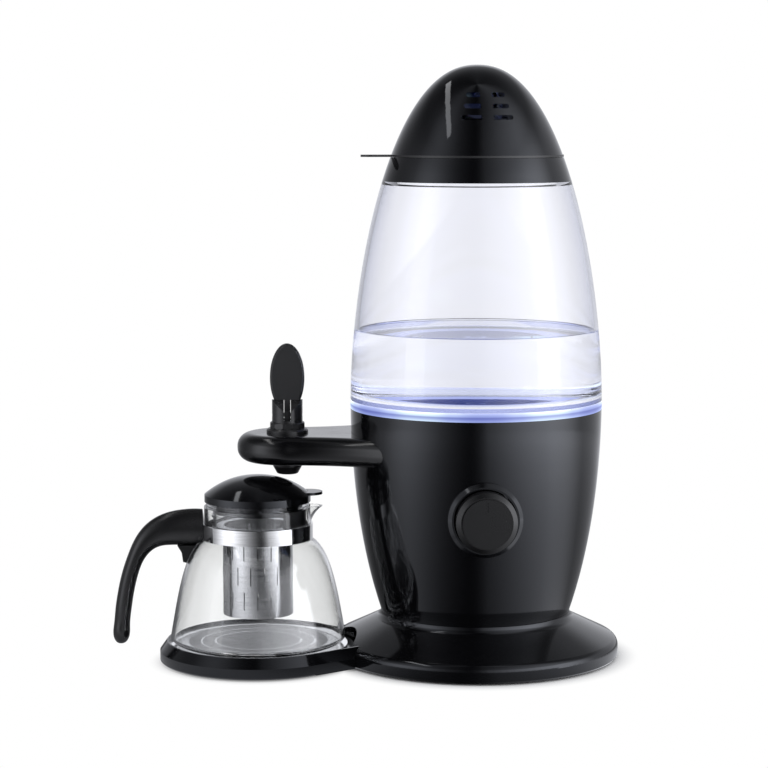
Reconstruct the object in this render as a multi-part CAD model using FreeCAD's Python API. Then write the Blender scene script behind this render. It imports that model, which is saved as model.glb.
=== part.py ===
"""Automatic tea maker: a clear water tank over a heater, a lever tap on a side arm and a glass teapot.

Millimetres, +Z up.  The origin is on the surface that the machine stands on, below the axis of the
tower.  The control knob faces -Y, and the arm, the tray and the teapot lie towards -X.
"""
import FreeCAD
import Part
import math
import os

Vector = FreeCAD.Vector
UP = Vector(0, 0, 1)
ALONG_X = Vector(1, 0, 0)
ALONG_Y = Vector(0, 1, 0)

# ---- clearances ----
fit_gap = 0.1            # between fixed pieces that slide together
running_gap = 0.3        # between pieces that move past each other
screw_gap = 0.15         # round a screw's shank
stem_gap = 0.08          # round the valve's stem in its guide
shaft_gap = 0.05         # round the knob's shaft and the lever's pin
small = 0.01

# ---- tower: one egg-shaped outline from the neck of the base to the tip of the lid ----
outline_height = 239.0   # from the belly to the tip
belly_radius = 90.5
neck_z = 33.5            # the housing stands on the base here
neck_radius = 68.2
dome_power = 1.75        # roundness of the outline above the belly
dome_root = 2.226
housing_wall = 3.0
tank_wall = 3.0
dome_wall = 2.6

# ---- heights up the tower ----
housing_over_arm = 17.5
light_ring_height = 6.0
tank_height = 156.6
collar_height = 17.0
lid_plate_thickness = 1.8

# ---- base ----
base_radius = 103.7
base_floor_gap = 1.5     # the base is held off the floor by its feet
base_rim_height = 7.5
base_rim_rounding = 6.0
neck_fillet = 6.0
base_wall = 3.0
base_slope_deg = 62.0    # angle of the cone's normal above level
base_neck_lip = 0.4      # the base stands out past the housing's foot
base_opening_radius = 56.0
ledge_width = 8.2
bottom_plate_thickness = 2.0
foot_ring_inset = 21.7   # from the base's edge
foot_ring_width = 8.0
base_screw_edge = 4.8    # between a screw's head and the foot ring
base_screw_count = 4
screw_shank_radius = 1.5
screw_head_radius = 3.2
screw_head_height = 1.8
screw_sink = 1.0         # of the heads into the bottom plate
screw_bite = 10.0        # length of thread in a boss
boss_radius = 4.5
housing_screw_inset = 4.8
gland_radius = 2.6
gland_wall = 1.1
board_start_x = 14.0
board_length = 54.0
board_width = 40.0
board_thickness = 1.6
board_post_height = 5.0
board_post_inset = 6.0
relay_size = 16.0
capacitor_radius = 4.0

# ---- teapot stand ----
pot_x = -157.5
pot_y = -16.0
tray_pot_gap = 1.6       # between the teapot's belly and the rim
tray_rim_width = 6.2
tray_rim_height = 7.5
tray_crest_inset = 5.0
tray_floor_z = 11.0
tray_rim_depth = 5.0
tray_floor_thickness = 2.5
tray_skin = 3.0
tray_bridge_deg = 29.3   # how fast the sides close in towards the base
tray_bridge_length = 52.0
tray_plate_thickness = 2.0
tongue_width = 44.0
tongue_thickness = 2.5
tongue_root = 14.0
tray_hub_radius = 16.0
tray_rib_width = 2.0
tray_rib_count = 6
tray_foot_radius = 4.5
tray_foot_inset = 10.5
tray_screw_edge = 3.8
tray_screw_inset = 8.5   # from the tongue's end
tray_screw_spacing = 26.0
plate_bead_radii = (30.0, 40.0)
bead_width = 1.5
bead_depth = 0.5

# ---- heater deck ----
deck_ledge_drop = 13.0
deck_ledge_thickness = 4.0
deck_thickness = 2.5
deck_lip = 7.0
deck_screw_gap = 3.0
upstand_wall = 4.0
heater_overhang = 0.5
heater_thickness = 1.2
heater_boss_radius = 6.0
heater_boss_height = 2.0
heater_groove_radii = (40.0, 60.0)
casting_gap = 13.0       # inside the deck's upstand
casting_depth = 7.0
element_tube_radius = 3.6
thermostat_radius = 9.0
thermostat_height = 11.0
tank_seal_height = 3.0
tank_seal_width = 5.5
tank_floor_drop = 3.0    # of the tank's floor below the foot of its wall
tank_floor_thickness = 3.0
tank_floor_width = 18.5
tank_step_height = 2.0   # where the floor turns up into the wall
tank_cone_height = 4.0
heater_rim_lap = 6.5     # of the heater's rim under the tank's floor
light_ring_width = 3.0
led_board_gap = 1.5
led_board_inset = 1.0
led_board_width = 5.0
led_board_thickness = 1.5
led_count = 16
led_size = 2.8
led_height = 2.5

# ---- tank neck, collar and lid ----
tank_neck_height = 12.6
tank_shoulder = 3.0
collar_wall = 2.6
lid_skirt_depth = 7.2
lid_skirt_wall = 2.6
lid_bead_height = 1.2
lid_bead_depth = 0.7
lid_seal_height = 2.0
lid_turn_deg = 4.5       # the round lid drops on at any angle
tab_reach = 83.5
tab_width = 15.0
vent_height = 3.2
vent_gap = 8.2           # plain strip between the two columns of vents
vent_drops = (21.6, 29.4, 37.3)     # of the three rows below the tip
vent_ends = (12.0, 14.2, 16.6)

# ---- knob ----
knob_z = 113.0
knob_radius = 21.2
knob_bevel = 4.2
knob_step = 2.0
knob_proud = 20.2       # of the housing's front
knob_depth = 12.5
knob_gap = 0.8
bezel_radius = 26.0
bezel_proud = 6.7
bezel_slope = 2.6
knob_wall = 2.4
hub_wall = 2.2
pointer_width = 1.4
shaft_radius = 3.0
shaft_flat = 0.8
bush_radius = 4.6
switch_width = 26.0
switch_depth = 13.0
bush_nut_radius = 7.5
bush_land = 1.0
bush_nut_thickness = 2.2

# ---- arm ----
tap_offset = 21.5        # from the teapot's axis towards the tower
arm_over_pot = 30.5      # above the teapot's rim
arm_thickness = 20.5
arm_end_radius = 36.0
arm_root_half_width = 59.0
arm_root_x = -66.0
arm_wall = 2.6
arm_rounding = 9.5
arm_screw_radius = 1.3
arm_post_radius = 3.4
arm_post_offset = 30.0
arm_post_spacing = 44.0

# ---- tap ----
tap_body_radius = 8.8
flange_radius = 15.0
flange_thickness = 3.0
nut_radius = 12.8
nut_height = 4.5
nut_sides = 12
collar_radius = 11.0
pin_rise = 5.0           # lever pin above the bottom of the slotted collar
collar_top_radius = 11.2
slot_width = 5.0
pin_radius = 1.5
nozzle_radius = 10.8
nozzle_tip_radius = 7.4
nozzle_drop = 9.5
nozzle_bore = 5.2
water_way_radius = 3.0
seat_rise = 6.0
seat_radius = 2.9
seat_thickness = 2.5
stem_radius = 2.2
stem_head_radius = 4.2
stem_head_thickness = 1.5
stem_guide_height = 7.0
washer_radius = 4.4
washer_thickness = 2.4
spring_radius = 3.5
spring_wire = 0.35
spring_turns = 3.0
spring_pocket_radius = 4.8
spring_pocket_depth = 7.0
paddle_half_width = 12.4
paddle_half_height = 24.5
paddle_rise = 27.0       # of its middle above the pin
paddle_thickness = 6.4
paddle_bevel = 1.6
tongue_cam_half_width = 5.0
tongue_cam_drop = 4.0
tongue_plate = 4.4

# ---- water pipe ----
pipe_radius = 4.0
pipe_bore = 2.8
pipe_bend_radius = 10.0
pipe_thermostat_gap = 6.0
pipe_casting_gap = 5.0

# ---- teapot ----
pot_base_radius = 50.0
pot_belly_radius = 62.7
pot_corner_height = 6.0
pot_height = 99.5
pot_neck_radius = 38.3
pot_neck_start = 76.0
glass_wall = 2.2
spout_reach = 46.5
spout_radius = 7.5
spout_drop = 14.0
band_height = 11.0
band_wall = 1.0
band_rise = 0.4
infuser_radius = 25.0
infuser_wall = 0.7
infuser_depth = 64.5
infuser_rim_inset = 0.5
infuser_slit_columns = 16
infuser_slit_rows = 3
infuser_slit_width = 0.8
infuser_slit_height = 13.0
infuser_plain_ends = 12.0
holder_radius = 32.0
holder_wall = 2.0
holder_depth = 13.0
holder_bead = 1.0
holder_bead_height = 1.5
holder_flange_inset = 1.5
holder_flange_height = 3.4
clip_start_deg = -57.0
clip_sweep_deg = 34.0
pot_lid_inset = 0.3
pot_lid_side = 5.0
pot_lid_dome = 13.4
pot_lid_wall = 2.2
pot_lid_power = 2.3
lid_spigot_depth = 8.0
spigot_wall = 2.0
lid_tongue_width = 20.0
lid_tongue_thickness = 2.0
handle_half_width = 8.0
grip_reach = 35.6        # of the grip's tip from the teapot's belly
grip_tip_rise = 0.6
grip_half_depth = 5.7
root_half_depth = 13.0
root_rise = 2.7          # of the handle's root above the screw
root_reach = 30.0        # from the teapot's axis
grip_stations = 14
claw_width = 9.0
claw_reach = 18.0
claw_depth = 12.8
claw_thickness = 5.0
handle_screw_head = 2.4
handle_screw_length = 13.0

# ---- places that follow from the sizes: the teapot first, then the arm over it and the tower ----
pot_z = tray_floor_z + tray_plate_thickness
pot_rim_z = pot_z + pot_height
neck_glass_z = pot_z + pot_neck_start
band_z = neck_glass_z + band_rise
band_outer = pot_neck_radius + fit_gap + band_wall
handle_screw_z = band_z + band_height / 2
arm_bottom_z = pot_rim_z + arm_over_pot
arm_top_z = arm_bottom_z + arm_thickness
arm_seam_z = arm_bottom_z + arm_thickness / 2
housing_top_z = arm_top_z + housing_over_arm
tank_foot_z = housing_top_z + light_ring_height
belly_z = tank_foot_z
apex_z = belly_z + outline_height
collar_z = tank_foot_z + tank_height
lid_plate_z = collar_z + collar_height
lid_seam_z = lid_plate_z + lid_plate_thickness
lower_half = (belly_z - neck_z) / math.sqrt(1 - (neck_radius / belly_radius) ** 2)
light_ring_inner = belly_radius - light_ring_width
tank_floor_z = tank_foot_z - tank_floor_drop
tank_under_z = tank_floor_z - tank_floor_thickness
tank_opening_radius = light_ring_inner - tank_floor_width
heater_top_z = tank_floor_z
heater_under_z = heater_top_z - heater_thickness
heater_rim_z = tank_under_z - tank_seal_height
heater_rim_under_z = heater_rim_z - heater_thickness
heater_crown_radius = tank_opening_radius - running_gap
heater_radius = tank_opening_radius + heater_rim_lap
upstand_inner = heater_radius - heater_overhang - upstand_wall
deck_ledge_z = housing_top_z - deck_ledge_drop
deck_z = deck_ledge_z + deck_ledge_thickness
deck_top_z = deck_z + deck_thickness
deck_screw_circle = upstand_inner + upstand_wall + deck_screw_gap
led_board_outer = light_ring_inner - led_board_gap
led_board_inner = led_board_outer - led_board_width
pipe_start_x = -thermostat_radius - pipe_thermostat_gap - pipe_radius
casting_inner = pipe_radius + pipe_casting_gap - pipe_start_x
casting_outer = upstand_inner - casting_gap
foot_ring_outer = base_radius - foot_ring_inset
foot_ring_inner = foot_ring_outer - foot_ring_width
base_screw_circle = foot_ring_inner - screw_head_radius - base_screw_edge
base_cavity_z = base_floor_gap + bottom_plate_thickness
board_z = base_cavity_z + board_post_height
gland_z = base_cavity_z + gland_radius + fit_gap
housing_screw_circle = neck_radius - housing_screw_inset
pot_axis_distance = math.hypot(pot_x, pot_y)
pot_bearing = math.degrees(math.atan2(-pot_y, -pot_x))
tray_inner_radius = pot_belly_radius + tray_pot_gap
tray_radius = tray_inner_radius + tray_rim_width
tray_crest_z = tray_floor_z + tray_rim_depth
plinth_cut_radius = tray_radius + running_gap
tray_screw_circle = foot_ring_inner - screw_head_radius - tray_screw_edge
tongue_end = pot_axis_distance - tray_screw_circle + tray_screw_inset
tray_foot_circle = tray_radius - tray_foot_inset
tap_x = pot_x + tap_offset
seat_z = arm_bottom_z + seat_rise
flange_top_z = arm_top_z + flange_thickness
nut_top_z = flange_top_z + nut_height
pin_z = nut_top_z + pin_rise
nozzle_z = arm_bottom_z - nozzle_drop
pocket_z = nut_top_z - spring_pocket_depth
cam_bottom_z = pin_z - tongue_cam_drop
stem_top_z = cam_bottom_z - running_gap
paddle_centre_z = pin_z + paddle_rise


# ---- small tools ----
def box(x0, x1, y0, y1, z0, z1):
    return Part.makeBox(x1 - x0, y1 - y0, z1 - z0, Vector(x0, y0, z0))


def cylinder(radius, z0, z1, x=0.0, y=0.0):
    return Part.makeCylinder(radius, z1 - z0, Vector(x, y, z0), UP)


def rod_y(radius, y0, y1, x, z):
    return Part.makeCylinder(radius, y1 - y0, Vector(x, y0, z), ALONG_Y)


def rod_x(radius, x0, x1, y, z):
    return Part.makeCylinder(radius, x1 - x0, Vector(x0, y, z), ALONG_X)


def ring(inner, outer, z0, z1, x=0.0, y=0.0):
    return cylinder(outer, z0, z1, x, y).cut(cylinder(inner, z0 - 1, z1 + 1, x, y))


def outline(*stops):
    """Closed wire in the XZ plane; a stop of four numbers is an arc through its first two."""
    edges = []
    here = stops[0]
    for stop in stops[1:] + stops[:1]:
        start = Vector(here[-2], 0, here[-1])
        end = Vector(stop[-2], 0, stop[-1])
        if len(stop) == 4:
            edges.append(Part.Arc(start, Vector(stop[0], 0, stop[1]), end).toShape())
        elif start.distanceToPoint(end) > small:
            edges.append(Part.makeLine(start, end))
        here = stop
    return Part.Wire(edges)


def spin(wire):
    return Part.Face(wire).revolve(Vector(0, 0, 0), UP, 360)


def turned(shape, angle, x=0.0, y=0.0):
    copy = shape.copy()
    copy.rotate(Vector(x, y, 0), UP, angle)
    return copy


def around(shape, count, start=0.0, x=0.0, y=0.0):
    return [turned(shape, start + 360.0 * index / count, x, y) for index in range(count)]


def at_pot(shape):
    copy = shape.copy()
    copy.translate(Vector(pot_x, pot_y, 0))
    return copy


def at_tap(shape):
    copy = shape.copy()
    copy.translate(Vector(tap_x, 0, 0))
    return copy


def towards_tower(shape):
    """Turns a shape drawn with the tower on its +X side, and puts it on the teapot's axis."""
    return at_pot(turned(shape, pot_bearing))


def fused(pieces):
    return pieces[0].multiFuse(pieces[1:]).removeSplitter()


def rounded_slot(x0, x1, y0, y1, z, height):
    """Level slot through a front wall, round at its outer end x1."""
    radius = height / 2
    straight = box(min(x0, x1), max(x0, x1), y0, y1, z - radius, z + radius)
    return straight.fuse(rod_y(radius, y0, y1, x1, z))


def save(name, shape):
    shape.exportStep("parts/" + name + ".step")


# ---- tower outline ----
def tower_radius(z, inset=0.0):
    side = belly_radius - inset
    if z >= belly_z:
        rise = min(1.0, (z - belly_z) / (apex_z - inset - belly_z))
        return side * (1 - rise ** dome_power) ** (1 / dome_root)
    fall = (belly_z - z) / (lower_half - inset)
    return side * math.sqrt(1 - fall * fall)


def tower_solid(low, high, inset=0.0):
    """Solid inside the tower's outline between two levels."""
    count = 12
    points = []
    for index in range(count + 1):
        z = low + (high - low) * math.sin(math.pi / 2 * index / count)
        points.append(Vector(tower_radius(z, inset), 0, z))
    curve = Part.BSplineCurve()
    curve.interpolate(points)
    edges = [curve.toShape()]
    if points[-1].x > small:
        edges.append(Part.makeLine(points[-1], Vector(0, 0, high)))
    edges.append(Part.makeLine(Vector(0, 0, high), Vector(0, 0, low)))
    edges.append(Part.makeLine(Vector(0, 0, low), points[0]))
    return spin(Part.Wire(edges))


# the tank's neck leaves the collar its wall, and the lid's skirt drops inside both
tank_neck_radius = tower_radius(collar_z + tank_neck_height) - collar_wall - fit_gap
collar_lip_radius = tank_neck_radius - tank_wall
lid_skirt_radius = collar_lip_radius - running_gap - lid_bead_depth

# the switch's case clears the curved wall, its nut seats on a flat boss, and the knob stands in front
bush_boss_radius = bush_nut_radius + bush_land
bezel_front_y = -tower_radius(knob_z) - bezel_proud
knob_front_y = -tower_radius(knob_z) - knob_proud
switch_corner_radius = tower_radius(knob_z - switch_width / 2, housing_wall + fit_gap)
switch_front_y = -math.sqrt(switch_corner_radius ** 2 - (switch_width / 2) ** 2)
boss_front_y = -tower_radius(knob_z + bush_boss_radius)


# ---- base ----
def base_outline(grow=0.0):
    """Outer stops of the base from its foot edge to the neck, grown for clearances."""
    radius = base_radius + grow
    rim_z = base_floor_gap + base_rim_height
    slope = math.radians(base_slope_deg)
    half = slope / 2
    centre = radius - base_rim_rounding
    neck = neck_radius + base_neck_lip + grow
    cove = neck + neck_fillet
    return [
        (radius, rim_z),
        (centre + base_rim_rounding * math.cos(half), rim_z + base_rim_rounding * math.sin(half),
         centre + base_rim_rounding * math.cos(slope), rim_z + base_rim_rounding * math.sin(slope)),
        (cove - neck_fillet * math.cos(slope), neck_z - neck_fillet * math.sin(slope)),
        (cove - neck_fillet * math.cos(half), neck_z - neck_fillet * math.sin(half), neck, neck_z),
    ]


def base_envelope(grow):
    stops = base_outline(grow)
    return spin(outline((0, base_floor_gap), (base_radius + grow, base_floor_gap), *stops, (0, neck_z)))


def make_base_plinth():
    """Hollow skirted cone with a hooked-in rim wall round the teapot's stand."""
    stops = base_outline()
    rim_z = base_floor_gap + base_rim_height
    roof_x = stops[1][2] - base_wall / 2
    roof_z = stops[1][3] - base_wall * 1.1
    neck_x = stops[2][0] - base_wall / 2
    ledge_z = neck_z - base_wall
    ledge_inner_radius = neck_radius - ledge_width
    flat_radius = housing_screw_circle + screw_head_radius + screw_gap
    body = spin(outline((0, base_floor_gap), (base_radius - 1.2, base_floor_gap),
                        (base_radius, base_floor_gap + 1.2), *stops, (0, neck_z)))
    cavity = spin(outline((0, 0), (base_radius - base_wall, 0), (base_radius - base_wall, rim_z), (roof_x, roof_z),
                          (neck_x, stops[2][1] - base_wall), (flat_radius, ledge_z), (ledge_inner_radius, ledge_z),
                          (ledge_inner_radius, neck_z + 1), (0, neck_z + 1)))
    bosses = around(cylinder(boss_radius, base_cavity_z, neck_z, base_screw_circle), base_screw_count, 45)
    skirt = cylinder(plinth_cut_radius + base_wall, -1, neck_z + 2, pot_x, pot_y)
    cavity = cavity.cut(Part.makeCompound(bosses)).cut(skirt)
    plinth = body.cut(cylinder(plinth_cut_radius, 0, neck_z + 1, pot_x, pot_y)).cut(cavity)
    pilot = cylinder(screw_shank_radius + screw_gap, base_cavity_z - 1, base_cavity_z + screw_bite + 1,
                     base_screw_circle)
    housing_hole = cylinder(screw_shank_radius + screw_gap, ledge_z - 1, neck_z + 1, housing_screw_circle)
    plinth = plinth.cut(Part.makeCompound(around(pilot, base_screw_count, 45)))
    plinth = plinth.cut(Part.makeCompound(around(housing_hole, base_screw_count)))
    half_slot = tongue_width / 2 + running_gap
    slot = box(0, plinth_cut_radius + base_wall + 2, -half_slot, half_slot, 0,
               base_cavity_z + tongue_thickness + running_gap)
    notch = rod_y(gland_radius + fit_gap, base_radius - 6, base_radius + 2, 0, gland_z)
    return plinth.cut(towards_tower(slot)).cut(notch)


def make_bottom_plate():
    """Plate that closes the base, with sunk screw holes, air slots and posts for the board."""
    plate = cylinder(base_radius - base_wall - fit_gap * 2, base_floor_gap, base_cavity_z)
    plate = plate.cut(cylinder(plinth_cut_radius + base_wall + fit_gap, 0, neck_z, pot_x, pot_y))
    sunk = cylinder(screw_head_radius + screw_gap, 0, base_floor_gap + screw_sink)
    hole = sunk.fuse(cylinder(screw_shank_radius + screw_gap, 0, base_cavity_z + 1))
    offset = hole.translated(Vector(base_screw_circle, 0, 0))
    holes = around(offset, base_screw_count, 45) + [hole.translated(place) for place in tray_screw_places()]
    slots = around(box(14, 34, -1.5, 1.5, 0, neck_z), 10)
    posts = [cylinder(screw_shank_radius * 2, base_cavity_z - 1, board_z, x, y) for x, y in board_posts()]
    return plate.multiFuse(posts).cut(Part.makeCompound(holes + slots))


def board_posts():
    near = board_start_x + board_post_inset
    far = board_start_x + board_length - board_post_inset
    side = board_width / 2 - board_post_inset
    return [(x, y) for x in (near, far) for y in (-side, side)]


def tray_screw_places():
    """Where the two screws hold the tray's tongue, as offsets from the origin."""
    bearing = math.radians(pot_bearing)
    reach = tray_screw_circle
    places = []
    for side in (-tray_screw_spacing / 2, tray_screw_spacing / 2):
        x = -reach * math.cos(bearing) - side * math.sin(bearing)
        y = -reach * math.sin(bearing) + side * math.cos(bearing)
        places.append(Vector(x, y, 0))
    return places


def screw_up(head_z, shank_top_z, radius=screw_shank_radius, head=screw_head_radius,
             height=screw_head_height):
    """Screw put in from below: head at the bottom."""
    shank = cylinder(radius, head_z, shank_top_z)
    cross = box(-head * 0.6, head * 0.6, -0.4, 0.4, head_z - 1, head_z + height * 0.4)
    return shank.fuse(cylinder(head, head_z, head_z + height)).cut(cross)


def make_base_screws():
    screw = screw_up(base_floor_gap + screw_sink - screw_head_height, base_cavity_z + screw_bite)
    screw.translate(Vector(base_screw_circle, 0, 0))
    return Part.makeCompound(around(screw, base_screw_count, 45))


def make_tray_screws():
    screw = screw_up(base_floor_gap + screw_sink - screw_head_height, base_cavity_z + tongue_thickness)
    return Part.makeCompound([screw.translated(place) for place in tray_screw_places()])


def make_cord_gland():
    """Rubber grommet in a round notch at the back of the rim."""
    y0 = base_radius - base_wall - 1
    collar = rod_y(gland_radius + 0.7, y0 - 0.5, y0 + 0.6, 0, gland_z)
    body = rod_y(gland_radius, y0, base_radius + 0.2, 0, gland_z)
    collar = collar.common(box(-10, 10, 0, 200, base_cavity_z + small, neck_z))
    return body.fuse(collar).cut(rod_y(gland_radius - gland_wall, y0 - 2, base_radius + 2, 0, gland_z))


def make_control_board():
    side = board_width / 2
    top = board_z + board_thickness
    board = box(board_start_x, board_start_x + board_length, -side, side, board_z, top)
    relay_x = board_start_x + board_length * 0.2
    relay_height = relay_size * 0.6
    relay = box(relay_x, relay_x + relay_size, -relay_size * 0.6, relay_size * 0.4, top, top + relay_height)
    capacitor_x = relay_x + relay_size * 2
    capacitor = cylinder(capacitor_radius, top, top + capacitor_radius * 2, capacitor_x, capacitor_radius)
    holes = [cylinder(screw_shank_radius, 0, neck_z, x, y) for x, y in board_posts()]
    return fused([board, relay, capacitor]).cut(Part.makeCompound(holes))


# ---- teapot stand ----
def bridge_outline(radius, low):
    """Sides that leave a circle on tangents and close in towards the tower."""
    lean = math.radians(tray_bridge_deg)
    x0 = radius * math.sin(lean)
    y0 = radius * math.cos(lean)
    x1 = x0 + tray_bridge_length * math.cos(lean)
    y1 = y0 - tray_bridge_length * math.sin(lean)
    corners = [Vector(x0, -y0, low), Vector(x1, -y1, low), Vector(x1, y1, low), Vector(x0, y0, low)]
    return Part.makePolygon(corners + corners[:1])


def bridge_solid(radius, low, high):
    return Part.Face(bridge_outline(radius, low)).extrude(Vector(0, 0, high - low))


def make_pot_tray():
    rim_z = base_floor_gap + tray_rim_height
    crest = tray_radius - tray_crest_inset
    cavity = tray_inner_radius
    bowl = spin(outline((0, base_floor_gap), (tray_radius - 1, base_floor_gap), (tray_radius, base_floor_gap + 1),
                        (tray_radius, rim_z), (crest, tray_crest_z), (0, tray_crest_z)))
    sides = [bridge_outline(tray_radius, rim_z), bridge_outline(crest, tray_crest_z)]
    shoulder = Part.makeLoft(sides, True, True)
    bridge = bridge_solid(tray_radius, base_floor_gap, rim_z).fuse(shoulder)
    above_z = tray_crest_z + 5
    hollow = cylinder(cavity, tray_floor_z, above_z).fuse(bridge_solid(cavity, tray_floor_z, above_z))
    envelope = base_envelope(running_gap)
    envelope.translate(Vector(pot_axis_distance, 0, 0))
    above = box(-200, 200, -200, 200, tray_floor_z, 60)
    walls = bowl.fuse(bridge).common(above).cut(hollow).cut(envelope)
    below = box(-200, 200, -200, 200, 0, tray_floor_z)
    body = bridge.common(below).cut(envelope).fuse(bowl.common(below))
    under = tray_floor_z - tray_floor_thickness
    recess = cylinder(tray_radius - tray_skin, 0, under)
    recess = recess.fuse(bridge_solid(tray_radius - tray_skin, 0, under).cut(cylinder(
        base_radius + tray_skin, 0, under, pot_axis_distance)))
    half_rib = tray_rib_width / 2
    ribs = around(box(0, tray_radius - 1, -half_rib, half_rib, base_floor_gap + 1, under), tray_rib_count, 30)
    hub = ring(tray_hub_radius - tray_rib_width, tray_hub_radius, base_floor_gap + 1, under)
    pads = around(cylinder(tray_foot_radius + 1, base_floor_gap, under, tray_foot_circle), 3, 60)
    base = body.cut(recess.cut(fused(ribs + [hub] + pads)))
    tongue = box(tray_radius - tray_skin - tongue_root, tongue_end, -tongue_width / 2, tongue_width / 2,
                 base_cavity_z + small, base_cavity_z + tongue_thickness)
    tray = base.multiFuse([walls, tongue]).removeSplitter()
    tray = towards_tower(tray)
    holes = [cylinder(screw_shank_radius + screw_gap, base_cavity_z - 2, base_cavity_z + tongue_thickness + 1)
             .translated(place) for place in tray_screw_places()]
    return tray.cut(Part.makeCompound(holes))


def make_tray_plate():
    """Pressed steel plate that the teapot stands on, with two shallow beads."""
    top = tray_floor_z + tray_plate_thickness
    plate = cylinder(tray_inner_radius - fit_gap * 2, tray_floor_z, top)
    beads = [ring(radius, radius + bead_width, top - bead_depth, top + 1) for radius in plate_bead_radii]
    return at_pot(plate.cut(Part.makeCompound(beads)))


def make_tray_feet():
    foot = cylinder(tray_foot_radius, 0, base_floor_gap, tray_foot_circle)
    return towards_tower(Part.makeCompound(around(foot, 3, 60)))


# ---- housing ----
def make_lower_housing():
    inside = tower_solid(neck_z + housing_wall, housing_top_z + 1, housing_wall)
    shell = tower_solid(neck_z, housing_top_z).cut(inside)
    shell = shell.cut(cylinder(base_opening_radius, 0, neck_z + housing_wall + 1))
    ledge = ring(upstand_inner + upstand_wall, belly_radius, deck_ledge_z, deck_z).common(tower_solid(
        deck_ledge_z - 1, deck_z + 1, housing_wall / 2))
    boss = cylinder(boss_radius - 0.5, neck_z + 1, neck_z + screw_bite + 4, housing_screw_circle)
    pilot = cylinder(screw_shank_radius + screw_gap, neck_z - 1, neck_z + screw_bite + 2, housing_screw_circle)
    deck_pilot = cylinder(arm_screw_radius + screw_gap, deck_ledge_z - 1, deck_z + 1, deck_screw_circle)
    switch_boss = rod_y(bush_boss_radius, boss_front_y, switch_front_y, 0, knob_z)
    housing = shell.multiFuse([ledge, switch_boss] + around(boss, base_screw_count))
    housing = housing.cut(Part.makeCompound(around(pilot, base_screw_count) + around(deck_pilot, 4, 45)))
    housing = housing.cut(rod_y(bush_radius + fit_gap, -belly_radius - 5, -40, 0, knob_z))
    return housing.cut(rod_x(pipe_radius + running_gap, -belly_radius - 5, -40, 0, arm_seam_z))


def make_housing_screws():
    head_z = neck_z - base_wall - screw_head_height
    screw = screw_up(head_z, neck_z + screw_bite)
    screw.translate(Vector(housing_screw_circle, 0, 0))
    return Part.makeCompound(around(screw, base_screw_count))


def make_support_deck():
    plate = ring(upstand_inner - deck_lip, tower_radius(deck_z, housing_wall) - 1, deck_z, deck_top_z)
    upstand = ring(upstand_inner, upstand_inner + upstand_wall, deck_z, heater_rim_under_z)
    hole = cylinder(arm_screw_radius + screw_gap, deck_z - 1, deck_top_z + 1, deck_screw_circle)
    return plate.fuse(upstand).cut(Part.makeCompound(around(hole, 4, 45)))


def make_deck_screws():
    shank = cylinder(arm_screw_radius, deck_ledge_z - screw_bite / 3, deck_top_z, deck_screw_circle)
    screw = shank.fuse(cylinder(arm_screw_radius * 1.9, deck_top_z, deck_top_z + 1.4, deck_screw_circle))
    return Part.makeCompound(around(screw, 4, 45))


def make_heater_plate():
    """Pressed steel disc: its rim lies under the tank's floor, its crown is flush with that floor's top."""
    boss_z = heater_top_z + heater_boss_height
    inner = heater_crown_radius - heater_thickness
    disc = spin(outline((0, heater_under_z), (inner, heater_under_z), (inner, heater_rim_under_z),
                        (heater_radius, heater_rim_under_z), (heater_radius, heater_rim_z),
                        (heater_crown_radius, heater_rim_z), (heater_crown_radius, heater_top_z),
                        (heater_boss_radius, heater_top_z), (heater_boss_radius - 1, boss_z), (0, boss_z)))
    groove_z = heater_top_z - heater_thickness / 3
    grooves = [ring(radius, radius + bead_width, groove_z, boss_z) for radius in heater_groove_radii]
    return disc.cut(Part.makeCompound(grooves)).cut(cylinder(pipe_bore, 0, apex_z, pipe_start_x))


def make_heater_casting():
    """Aluminium casting with the tubular element bulging below it."""
    low = heater_under_z - casting_depth
    block = ring(casting_inner, casting_outer, low, heater_under_z)
    middle = (casting_inner + casting_outer) / 2
    element = Part.makeTorus(middle, element_tube_radius, Vector(0, 0, low), UP)
    posts = [rod_y(element_tube_radius * 0.8, middle - 4, middle + 12, side, low - 1) for side in (-6, 6)]
    return fused([block, element] + posts)


def make_thermostat():
    low = heater_under_z - thermostat_height
    can = cylinder(thermostat_radius, low + 3, heater_under_z)
    base = cylinder(thermostat_radius - 2, low, low + 3)
    blades = [box(side - 0.4, side + 0.4, -3, 3, low - 6, low) for side in (-4, 4)]
    return fused([can, base] + blades)


def make_tank_seal():
    return ring(heater_radius - tank_seal_width, heater_radius, heater_rim_z, tank_under_z)


def make_led_board():
    top = deck_top_z + led_board_thickness
    board = ring(led_board_inner, led_board_outer, deck_top_z, top)
    near = led_board_inner + led_board_inset
    led = box(-led_size / 2, led_size / 2, near, near + led_size, top, top + led_height)
    return board.multiFuse(around(led, led_count))


def make_light_ring():
    band = tower_solid(housing_top_z, tank_foot_z)
    return band.cut(cylinder(light_ring_inner, housing_top_z - 1, tank_foot_z + 1))


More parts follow.
